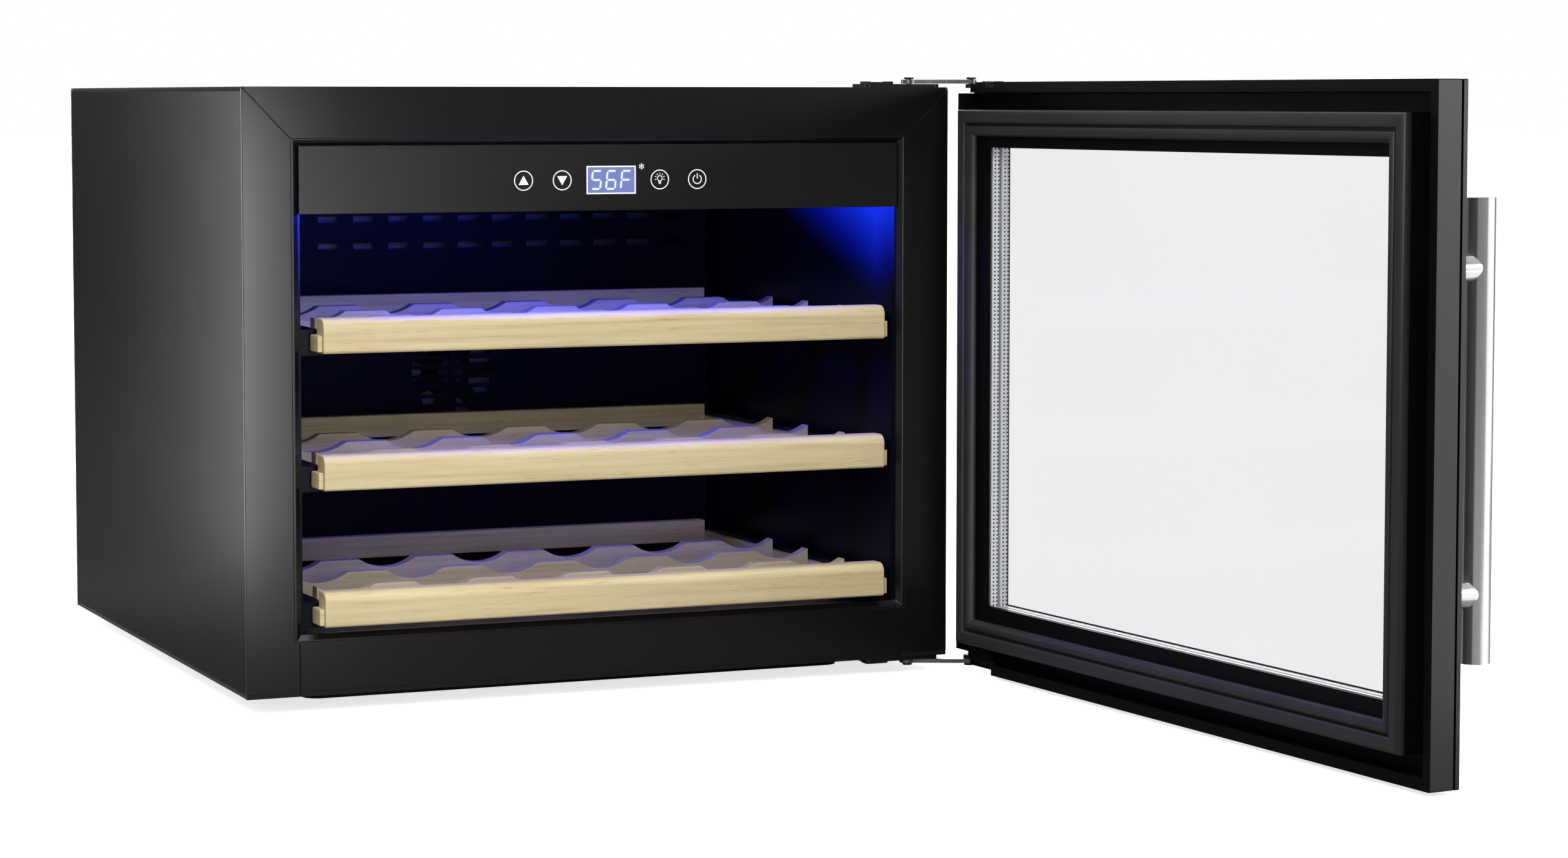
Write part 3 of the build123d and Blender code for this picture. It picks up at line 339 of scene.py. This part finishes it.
PAINT = coated("black_powder_coat", (0.0030, 0.0030, 0.0031), (0.0050, 0.0050, 0.0052),
               rough=(0.235, 0.255), specular=0.42, grain=1500.0, depth=0.00003)
SHELL = coated("black_shell_paint", (0.0032, 0.0032, 0.0033), (0.0052, 0.0052, 0.0053),
               rough=(0.26, 0.28), specular=0.04, grain=1200.0, depth=0.00001)
PLASTIC = coated("black_moulded_plastic", (0.006, 0.006, 0.0065), (0.010, 0.010, 0.011),
                 rough=(0.45, 0.56), specular=0.20, grain=900.0, depth=0.00015)
LINER = liner_painted_spill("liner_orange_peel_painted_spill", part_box("light_lens"))
PANEL = coated("gloss_strip", (0.0030, 0.0030, 0.0032), (0.0045, 0.0045, 0.0048),
               rough=(0.37, 0.40), specular=0.42, grain=300.0, depth=0.00001)
DOOR = coated("door_frame_black", (0.0022, 0.0022, 0.0023), (0.0038, 0.0038, 0.0040),
              rough=(0.40, 0.46), specular=0.08, grain=1100.0, depth=0.00008)
DOOR_EDGE = coated("door_frame_edge", (0.020, 0.020, 0.020), (0.028, 0.028, 0.028),
                   rough=(0.34, 0.36), specular=0.5, grain=900.0, depth=0.00004)
COMPRESSOR = coated("compressor_paint", (0.008, 0.008, 0.0085), (0.013, 0.013, 0.014),
                    rough=(0.28, 0.38), specular=0.4, grain=500.0, depth=0.0002)
TRAY = coated("tray_plastic", (0.42, 0.43, 0.43), (0.5, 0.51, 0.51),
              rough=(0.45, 0.55), specular=0.4, grain=700.0, depth=0.0001)
STEEL = brushed("bright_steel", (0.60, 0.60, 0.61), (0.24, 0.34), (1, 1, 0.05))
HANDLE = brushed("handle_steel", (0.88, 0.875, 0.865), (0.15, 0.24), (6, 6, 0.05), metallic=0.85)
DARK_STEEL = brushed("blackened_steel", (0.045, 0.045, 0.048), (0.30, 0.40), (1, 1, 1))
ARM_STEEL = brushed("arm_steel", (0.26, 0.26, 0.265), (0.22, 0.30), (1, 1, 1))
SCREW = brushed("screw_steel", (0.62, 0.62, 0.63), (0.2, 0.3), (1, 1, 1))
ROLL_BOND = brushed("roll_bond", (0.10, 0.102, 0.106), (0.4, 0.55), (0.05, 1, 1))
ZINC = spangled("galvanised_sheet")
BEECH_X = beech("beech_along_x", (9.0, 90.0, 240.0))
BEECH_Y = beech("beech_along_y", (90.0, 9.0, 240.0))
GLASS = clear_glass("float_glass")
SPACER = perforated("spacer_bar")
TAPE = rubber("bonding_tape", (0.004, 0.004, 0.004), (0.6, 0.75), 0.15)
GASKET = rubber("gasket_rubber", (0.0200, 0.0200, 0.0202), (0.40, 0.48), 0.40)
SOFT_RUBBER = rubber("rubber_mount", (0.008, 0.008, 0.008))
PRINT = coated("ceramic_print", (0.003, 0.003, 0.003), (0.0045, 0.0045, 0.0048),
               rough=(0.12, 0.16), specular=0.4, grain=900.0, depth=0.00001)
BOARD = circuit_board("circuit_board")
FOAM = foamed("foam")
LENS = glowing("light_lens_glow", (0.004, 0.02, 1.0), 60.0)
FIELD = glowing("display_field", (0.12, 0.14, 0.33), 0.70, 0.9)
DIGIT = glowing("display_digit", (0.50, 0.62, 0.90), 0.70, 0.95)
WHITE_INK = glowing("icon_white", (0.74, 0.75, 0.78), 0.40, 0.96)

by_slot = {
    "painted_black": PAINT, "galvanised": ZINC, "bright_steel": STEEL, "polished_handle": HANDLE,
    "black_plastic": PLASTIC, "liner_plastic": LINER, "gloss_panel": PANEL, "display": FIELD,
    "board_green": BOARD, "lens_plastic": LENS, "foam": FOAM, "roll_bond": ROLL_BOND,
    "compressor_black": COMPRESSOR, "black_wire": COMPRESSOR, "soft_rubber": SOFT_RUBBER,
    "tray_plastic": TRAY, "beech": BEECH_X, "door_grey": DOOR, "clear_glass": GLASS,
    "black_tape": TAPE, "spacer_bar": SPACER, "gasket_grey": GASKET, "screw_steel": SCREW,
}
# Nodes that look different from the rest of their slot.
own_material = {
    "outer_shell": SHELL, "bracket_screws": PAINT, "leaf_screws": DARK_STEEL,
    "hinge_leaf_top": DARK_STEEL, "hinge_leaf_bottom": DARK_STEEL,
    "hinge_arm_top": ARM_STEEL, "hinge_arm_bottom": ARM_STEEL,
}
for shelf in SHELVES:
    own_material[f"shelf_{shelf}_rails"] = BEECH_Y
for row in frame["record"]["subparts"]:
    material = own_material.get(row["node"], by_slot[row["material_slot"]])
    mesh = nodes[row["node"]].data
    mesh.materials.clear()
    mesh.materials.append(material)


def second_material(node, material, chosen):
    """Gives a second material to the faces of a door node that chosen accepts, by shut normal and centre."""
    mesh = nodes[node].data
    mesh.materials.append(material)
    turn = TO_SHUT.to_3x3()
    for face in mesh.polygons:
        if chosen(turn @ face.normal, TO_SHUT @ face.center):
            face.material_index = 1


# The outer glass's ground edge and the door's free side are satin black.
FREE_SIDE_X = shut_box("door_frame")[0].x + 5.0 * MM
second_material("outer_glass", DOOR_EDGE, lambda normal, centre: abs(normal.y) < 0.5)
second_material("door_frame", DOOR_EDGE, lambda normal, centre: normal.x < -0.7 and centre.x < FREE_SIDE_X)


# ---- crisp edges on the CAD nodes ----
WELD_DISTANCE = 0.01 * MM
FLAT_ANGLE = 0.5
EDGE_ANGLE = 40.0


def soften(names, width):
    """Merges the flat faces of each node and rounds its sharp edges by width, in metres."""
    for name in names:
        node = nodes[name]
        weld = node.modifiers.new("weld", "WELD")
        weld.merge_threshold = WELD_DISTANCE
        flat = node.modifiers.new("flat", "DECIMATE")
        flat.decimate_type = "DISSOLVE"
        flat.angle_limit = math.radians(FLAT_ANGLE)
        bevel = node.modifiers.new("bevel", "BEVEL")
        bevel.width = width
        bevel.segments = 2
        bevel.limit_method = "ANGLE"
        bevel.angle_limit = math.radians(EDGE_ANGLE)
        bevel.use_clamp_overlap = True
        node.modifiers.new("normals", "WEIGHTED_NORMAL").keep_sharp = True


soften(["frame_left_stile", "frame_right_stile", "frame_top_rail", "frame_bottom_rail"], 0.35 * MM)
soften(["opening_trim"], 0.3 * MM)
soften([f"shelf_{s}_{p}" for s in SHELVES for p in ("front", "slats", "rails")], 0.7 * MM)
soften(["control_panel"], 0.25 * MM)


# ---- mesh helpers ----
def piece(name, bm, material, body, matrix=None, sharp=35.0):
    """A finished object on a body: smooth except at edges sharper than the given angle."""
    bmesh.ops.recalc_face_normals(bm, faces=bm.faces[:])
    if matrix is not None:
        bm.transform(matrix)
    for face in bm.faces:
        face.smooth = True
    for edge in bm.edges:
        edge.smooth = len(edge.link_faces) == 2 and edge.calc_face_angle(0.0) < math.radians(sharp)
    mesh = bpy.data.meshes.new(name)
    bm.to_mesh(mesh)
    bm.free()
    mesh.materials.append(material)
    thing = bpy.data.objects.new(name, mesh)
    bpy.context.scene.collection.objects.link(thing)
    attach(thing, body)
    return thing


def framed_sweep(bm, profile, half, low, high, y_of):
    """A closed profile of (inset, height) points swept round a rectangle with mitred corners.

    The rectangle is half wide to each side and reaches from low to high. y_of turns a height into Y.
    """
    rows = []
    for inset, height in profile:
        x, z0, z1, y = half - inset, low + inset, high - inset, y_of(height)
        rows.append([bm.verts.new(p) for p in ((-x, y, z0), (x, y, z0), (x, y, z1), (-x, y, z1))])
    for i, row in enumerate(rows):
        after = rows[(i + 1) % len(rows)]
        for k in range(4):
            n = (k + 1) % 4
            bm.faces.new((row[k], row[n], after[n], after[k]))


def prism(bm, outline, y0, y1):
    """A flat polygon in X and Z between two depths."""
    front = [bm.verts.new((x, y0, z)) for x, z in outline]
    back = [bm.verts.new((x, y1, z)) for x, z in outline]
    bm.faces.new(front)
    bm.faces.new(back[::-1])
    for i in range(len(outline)):
        n = (i + 1) % len(outline)
        bm.faces.new((front[i], back[i], back[n], front[n]))


def stroke(bm, points, width, y0, y1, closed=False):
    """A line of constant width along points in X and Z, as a thin raised print."""
    points = [Vector(p) for p in points]
    count = len(points)
    sides = []
    for i, p in enumerate(points):
        before = points[i - 1] if closed or i > 0 else None
        after = points[(i + 1) % count] if closed or i < count - 1 else None
        ways = []
        if before is not None:
            ways.append((p - before).normalized())
        if after is not None:
            ways.append((after - p).normalized())
        way = sum(ways, Vector((0, 0))).normalized()
        normal = Vector((-way.y, way.x))
        first_normal = Vector((-ways[0].y, ways[0].x))
        stretch = 1.0 / max(0.5, abs(normal.dot(first_normal)))
        offset = normal * (width / 2 * stretch)
        sides.append((p + offset, p - offset))
    rings = [[bm.verts.new((q.x, y, q.y)) for y in (y0, y1) for q in pair] for pair in sides]
    last = count if closed else count - 1
    for i in range(last):
        a, b = rings[i], rings[(i + 1) % count]
        for s, t in ((0, 1), (1, 3), (3, 2), (2, 0)):
            bm.faces.new((a[s], a[t], b[t], b[s]))
    if not closed:
        for ring in (rings[0], rings[-1]):
            bm.faces.new((ring[0], ring[1], ring[3], ring[2]))


def arc(x, z, radius, start, end, steps):
    """Points on an arc round (x, z), between two angles in degrees."""
    span = math.radians(end - start)
    first = math.radians(start)
    return [(x + radius * math.cos(first + span * i / steps), z + radius * math.sin(first + span * i / steps))
            for i in range(steps + 1)]


def circle(x, z, radius, steps=48):
    return arc(x, z, radius, 0, 360, steps)[:-1]


# ---- touch strip: pictograms and display ----
ICON_Z = (DISPLAY_LOW.z + DISPLAY_HIGH.z) / 2
INK_FRONT = PANEL_FRONT - 0.10 * MM
INK_BACK = PANEL_FRONT + 0.05 * MM
UP_X = -66 * MM
DOWN_X = -36 * MM
LAMP_X = 41 * MM
POWER_X = 71 * MM
RING_RADIUS = 7.0 * MM
LINE = 0.75 * MM


def ink(bm, points, width, closed=False):
    """A printed line on the touch strip."""
    stroke(bm, points, width, INK_FRONT, INK_BACK, closed)


def arrow(bm, x, way):
    """A solid triangle that points up for way 1 and down for way -1."""
    half, base, tip = 3.9 * MM, -3.1 * MM * way, 3.7 * MM * way
    prism(bm, [(x - half, ICON_Z + base), (x + half, ICON_Z + base), (x, ICON_Z + tip)], INK_FRONT, INK_BACK)


def lamp_sign(bm, x):
    """A bulb with seven rays and a screw base of three bars."""
    z = ICON_Z + 0.9 * MM
    ink(bm, arc(x, z, 1.9 * MM, -55, 235, 24), 0.6 * MM)
    ray_start, ray_end = 2.9 * MM, 4.1 * MM
    for i in range(7):
        angle = math.radians(-15 + i * 35)
        ray = [(x + r * math.cos(angle), z + r * math.sin(angle)) for r in (ray_start, ray_end)]
        ink(bm, ray, 0.55 * MM)
    for drop, reach in ((1.9, 1.2), (2.9, 1.2), (3.8, 0.8)):
        ink(bm, [(x - reach * MM, z - drop * MM), (x + reach * MM, z - drop * MM)], 0.65 * MM)


def power_sign(bm, x):
    """A ring open at the top, with a short upright bar."""
    ink(bm, arc(x, ICON_Z, 3.3 * MM, 122, 418, 36), LINE)
    ink(bm, [(x, ICON_Z + 0.4 * MM), (x, ICON_Z + 4.3 * MM)], LINE)


def snowflake(bm, x, z):
    """Three crossed bars, forked at their ends."""
    centre = Vector((x, z))
    for i in range(3):
        angle = math.radians(90 + i * 60)
        way = Vector((math.cos(angle), math.sin(angle)))
        ink(bm, [centre - way * 2.2 * MM, centre + way * 2.2 * MM], 0.42 * MM)
        for end in (-1, 1):
            fork = centre + way * end * 1.3 * MM
            for side in (-1, 1):
                turned = angle + math.radians(45 * side)
                tip = fork + Vector((math.cos(turned), math.sin(turned))) * end * 0.85 * MM
                ink(bm, [fork, tip], 0.34 * MM)


def icons():
    """The four touch icons and the small snowflake beside the display."""
    bm = bmesh.new()
    for x in (UP_X, DOWN_X, LAMP_X, POWER_X):
        ink(bm, circle(x, ICON_Z, RING_RADIUS), LINE, closed=True)
    arrow(bm, UP_X, 1)
    arrow(bm, DOWN_X, -1)
    lamp_sign(bm, LAMP_X)
    power_sign(bm, POWER_X)
    snowflake(bm, 26.5 * MM, ICON_Z + 9.8 * MM)
    piece("panel_icons", bm, WHITE_INK, "cabinet")


def display_border():
    """The white line round the display window."""
    bm = bmesh.new()
    width = 1.0 * MM
    x0, x1 = DISPLAY_LOW.x + width / 2, DISPLAY_HIGH.x - width / 2
    z0, z1 = DISPLAY_LOW.z + width / 2, DISPLAY_HIGH.z - width / 2
    corners = [Vector(corner) for corner in ((x0, z0), (x1, z0), (x1, z1), (x0, z1))]
    for i, a in enumerate(corners):
        b = corners[(i + 1) % 4]
        way = (b - a).normalized() * width / 2
        ink(bm, [a - way, b + way], width)
    piece("display_border", bm, WHITE_INK, "cabinet")


DIGIT_HALF_WIDTH = 3.5 * MM
DIGIT_HALF_HEIGHT = 6.6 * MM
DIGIT_PITCH = 11.6 * MM
SEGMENT_HALF = 0.72 * MM    # half the width of a segment
SEGMENT_GAP = 0.35 * MM     # from a segment's tip to its corner
LEAN = 0.10
READING = ("afgcd", "afgcde", "afge")  # lit segments of each place, from the left


def display_digits():
    """A temperature in seven segments, lettered clockwise from the top, with g in the middle."""
    bm = bmesh.new()
    w, h = DIGIT_HALF_WIDTH, DIGIT_HALF_HEIGHT
    segments = {
        "a": ((-w, h), (w, h)), "b": ((w, h), (w, 0)), "c": ((w, 0), (w, -h)), "d": ((w, -h), (-w, -h)),
        "e": ((-w, -h), (-w, 0)), "f": ((-w, 0), (-w, h)), "g": ((-w, 0), (w, 0)),
    }
    middle = (DISPLAY_LOW.x + DISPLAY_HIGH.x) / 2
    for i, lit in enumerate(READING):
        x = middle + (i - 1) * DIGIT_PITCH
        for key in lit:
            a, b = (Vector(end) for end in segments[key])
            way = (b - a).normalized()
            side = Vector((-way.y, way.x)) * SEGMENT_HALF
            a = a + way * SEGMENT_GAP
            b = b - way * SEGMENT_GAP
            taper = way * SEGMENT_HALF
            shape = [a, a + taper + side, b - taper + side, b, b - taper - side, a + taper - side]
            prism(bm, [(x + p.x + LEAN * p.y, ICON_Z + p.y) for p in shape], INK_FRONT, INK_BACK)
    piece("display_digits", bm, DIGIT, "cabinet")


icons()
display_border()
display_digits()


# ---- door seal, swept round the door ----
GASKET_LOW, GASKET_HIGH = shut_box("door_gasket")
# Millimetres inwards from the outer edge, and towards the door from the face that meets the cabinet.
GASKET_PROFILE = [
    (0.5, 6.5), (0.0, 5.9), (0.15, 1.9), (0.7, 0.9), (1.7, 0.25), (3.0, 0.0), (5.2, 0.15), (7.6, 0.0),
    (8.9, 0.3), (9.7, 0.95), (10.0, 1.9), (10.1, 5.8), (12.0, 5.8), (12.1, 2.2), (12.6, 1.4), (13.7, 1.0),
    (15.2, 0.9), (16.4, 1.1), (17.3, 1.7), (19.4, 4.3), (20.0, 5.6), (19.7, 6.5),
]


def gasket():
    """The seal with its two ridges and the valley between them."""
    bm = bmesh.new()
    profile = [(inset * MM, height * MM) for inset, height in GASKET_PROFILE]
    framed_sweep(bm, profile, GASKET_HIGH.x, GASKET_LOW.z, GASKET_HIGH.z, lambda h: GASKET_HIGH.y - h)
    seal = piece("door_seal", bm, GASKET, "door", TO_REST, sharp=50.0)
    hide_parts("door_gasket")


gasket()


# ---- black print on the inner face of the outer glass ----
GLASS_LOW, GLASS_HIGH = shut_box("outer_glass")
SPACER_LOW, SPACER_HIGH = shut_box("glazing_spacers")
SPACER_BAR = 8.5 * MM       # width of a spacer bar, which the print hides from the front
PRINT_EDGE = 0.15 * MM      # from the print to the glass's edge
PRINT_DEPTHS = (0.30 * MM, 0.22 * MM)   # ahead of the glass's inner face


def glass_print():
    """A thin black frame from the glass's edge to the inside of the spacer bars."""
    bm = bmesh.new()
    outer_x = GLASS_HIGH.x - PRINT_EDGE
    inner_x = SPACER_HIGH.x - SPACER_BAR
    outer = (outer_x, GLASS_LOW.z + PRINT_EDGE, GLASS_HIGH.z - PRINT_EDGE)
    inner = (inner_x, SPACER_LOW.z + SPACER_BAR, SPACER_HIGH.z - SPACER_BAR)
    rings = []
    for depth in PRINT_DEPTHS:
        y = GLASS_HIGH.y - depth
        for x, z0, z1 in (outer, inner):
            rings.append([bm.verts.new(p) for p in ((-x, y, z0), (x, y, z0), (x, y, z1), (-x, y, z1))])
    for a, b in ((0, 1), (1, 3), (3, 2), (2, 0)):
        for k in range(4):
            n = (k + 1) % 4
            bm.faces.new((rings[a][k], rings[a][n], rings[b][n], rings[b][k]))
    piece("glass_print", bm, PRINT, "door", TO_REST)


glass_print()


# ---- studio ----
FLOOR_SIZE = 80.0
FLOOR_DROP = 0.2 * MM       # the floor lies this far under the plinth, so that their faces don't coincide
FLOOR_GLOW = 0.74
FLOOR_DIM = 0.20


def ray_kinds(tree):
    """Whether a ray comes from the camera, and whether it comes through glass and was never mirrored."""
    path = tree.nodes.new("ShaderNodeLightPath")
    straight = tree.nodes.new("ShaderNodeMath")
    straight.operation = "LESS_THAN"
    straight.inputs[1].default_value = 0.5
    tree.links.new(path.outputs["Glossy Depth"], straight.inputs[0])
    through = tree.nodes.new("ShaderNodeMath")
    through.operation = "MULTIPLY"
    tree.links.new(path.outputs["Is Transmission Ray"], through.inputs[0])
    tree.links.new(straight.outputs[0], through.inputs[1])
    return path.outputs["Is Camera Ray"], through.outputs[0]


def by_ray_kind(tree, bounced, seen, through):
    """One shader for bounced rays, one for the camera's own rays and one for rays through glass."""
    surface = bounced
    for kind, shader in zip(ray_kinds(tree), (seen, through)):
        choose = tree.nodes.new("ShaderNodeMixShader")
        tree.links.new(kind, choose.inputs[0])
        tree.links.new(surface, choose.inputs[1])
        tree.links.new(shader, choose.inputs[2])
        surface = choose.outputs[0]
    return surface


def floor():
    """A plain white floor, dim for the rays that bounce off the object."""
    bpy.ops.mesh.primitive_plane_add(size=FLOOR_SIZE, location=(0, 0, -FLOOR_DROP))
    ground = bpy.context.object
    ground.name = "floor"
    g = Graph("floor_white", (0.9, 0.9, 0.9), 0.85, specular=0.1)
    g.color(g.ramp(g.noise(0.8), [(0.3, 0.89), (0.7, 0.91)]))
    g.set("Emission Color", (1.0, 1.0, 1.0, 1.0))
    g.set("Emission Strength", FLOOR_GLOW)
    dim = g.tree.nodes.new("ShaderNodeBsdfDiffuse")
    dim.inputs["Color"].default_value = (FLOOR_DIM, FLOOR_DIM, FLOOR_DIM, 1.0)
    plain = g.tree.nodes.new("ShaderNodeEmission")
    surface = by_ray_kind(g.tree, dim.outputs[0], g.shader.outputs[0], plain.outputs[0])
    g.link(surface, g.tree.nodes["Material Output"].inputs["Surface"])
    ground.data.materials.append(g.material)


ROOM_SLOPE = (("X", -0.10), ("Y", -0.02), ("Z", 0.46))  # how much brighter the room is along each axis
ROOM_LEVEL = 0.30
ROOM_DARK = (0.20, 0.045)   # place on the ramp and grey there
ROOM_BRIGHT = (0.75, 0.75)


def surroundings():
    """White behind the object and through its glass, and a dim room with a bright ceiling for the rest."""
    world = bpy.data.worlds.new("studio")
    bpy.context.scene.world = world
    world.use_nodes = True
    tree = world.node_tree
    tree.nodes.clear()
    coords = tree.nodes.new("ShaderNodeTexCoord")
    split = tree.nodes.new("ShaderNodeSeparateXYZ")
    tree.links.new(coords.outputs["Generated"], split.inputs[0])
    total = None
    for axis, share in ROOM_SLOPE:
        part = tree.nodes.new("ShaderNodeMath")
        part.operation = "MULTIPLY_ADD"
        part.inputs[1].default_value = share
        part.inputs[2].default_value = ROOM_LEVEL
        tree.links.new(split.outputs[axis], part.inputs[0])
        if total is not None:
            tree.links.new(total, part.inputs[2])
        total = part.outputs[0]
    ramp = tree.nodes.new("ShaderNodeValToRGB")
    for element, (place, grey) in zip(ramp.color_ramp.elements, (ROOM_DARK, ROOM_BRIGHT)):
        element.position = place
        element.color = (grey, grey, grey, 1)
    tree.links.new(total, ramp.inputs["Fac"])
    room = tree.nodes.new("ShaderNodeBackground")
    tree.links.new(ramp.outputs["Color"], room.inputs["Color"])
    white = tree.nodes.new("ShaderNodeBackground")
    white.inputs["Color"].default_value = (1, 1, 1, 1)
    surface = by_ray_kind(tree, room.outputs[0], white.outputs[0], white.outputs[0])
    output = tree.nodes.new("ShaderNodeOutputWorld")
    tree.links.new(surface, output.inputs["Surface"])


EYE_X = -0.96914
EYE_AHEAD = 2.53969         # in front of the cabinet's front
EYE_HEIGHT = 0.44192
LOOK_DOWN = 0.0685          # radians
LOOK_RIGHT = 0.4036         # radians
SENSOR_WIDTH = 36.0
FOCAL_LENGTH = 84.58
SHIFT_X = 0.0197
SHIFT_Y = -0.05


def camera():
    """The view from the front left, at about the height of the cabinet's top."""
    data = bpy.data.cameras.new("camera")
    data.sensor_width = SENSOR_WIDTH
    data.lens = FOCAL_LENGTH
    data.shift_x = SHIFT_X
    data.shift_y = SHIFT_Y
    data.clip_start = 0.05
    data.clip_end = 200.0
    eye = bpy.data.objects.new("camera", data)
    eye.location = (EYE_X, CABINET_FRONT - EYE_AHEAD, EYE_HEIGHT)
    eye.rotation_euler = (math.pi / 2 - LOOK_DOWN, 0.0, -LOOK_RIGHT)
    bpy.context.scene.collection.objects.link(eye)
    bpy.context.scene.camera = eye


def area_light(name, place, target, width, height, power, through_glass=True):
    """A rectangular lamp that faces target and is never seen directly."""
    light = bpy.data.lights.new(name, "AREA")
    light.shape = "RECTANGLE"
    light.size = width
    light.size_y = height
    light.energy = power
    lamp = bpy.data.objects.new(name, light)
    lamp.location = place
    lamp.rotation_euler = (Vector(target) - Vector(place)).to_track_quat("-Z", "Y").to_euler()
    lamp.visible_camera = False
    lamp.visible_transmission = through_glass
    bpy.context.scene.collection.objects.link(lamp)


floor()
surroundings()
camera()

# Strips that draw the bands of gloss on the front frame and on the left side panel.
area_light("front_strip", (-0.158, -0.842, 0.235), (-0.20, -0.27, 0.20), 0.05, 0.42, 1.45)
area_light("side_strip", (-0.66, 0.57, 0.219), (-0.2775, -0.15, 0.30), 0.15, 0.71, 3.0)

# Lamps for the door's free edge and the handle, hidden from views through the door's glass.
area_light("edge_softbox", (3.0, -3.1, 1.0), (0.31, -0.85, 0.35), 0.5, 0.6, 26.0, through_glass=False)
area_light("handle_softbox", (2.4, -1.3, 0.45), (0.36, -0.83, 0.25), 1.3, 1.4, 8.0, through_glass=False)
area_light("handle_card", (0.99, -1.27, 0.30), (0.37, -0.83, 0.25), 0.7, 0.7, 1.3, through_glass=False)
area_light("handle_floor_card", (0.92, -1.22, 0.004), (0.92, -1.22, 1.0), 0.8, 0.8, 1.7, through_glass=False)

# Soft light from behind, above and the front left.
area_light("rear_softbox", (1.5, 2.6, 1.2), (0.1, 0.1, 0.25), 2.0, 1.5, 28.0)
area_light("top_softbox", (-0.3, -0.8, 3.4), (0, -0.2, 0), 3.0, 3.0, 70.0)
area_light("fill_softbox", (-1.7, -2.7, 2.1), (0.05, -0.27, 0.25), 1.2, 1.0, 46.0)

bpy.context.scene.view_settings.view_transform = "Standard"
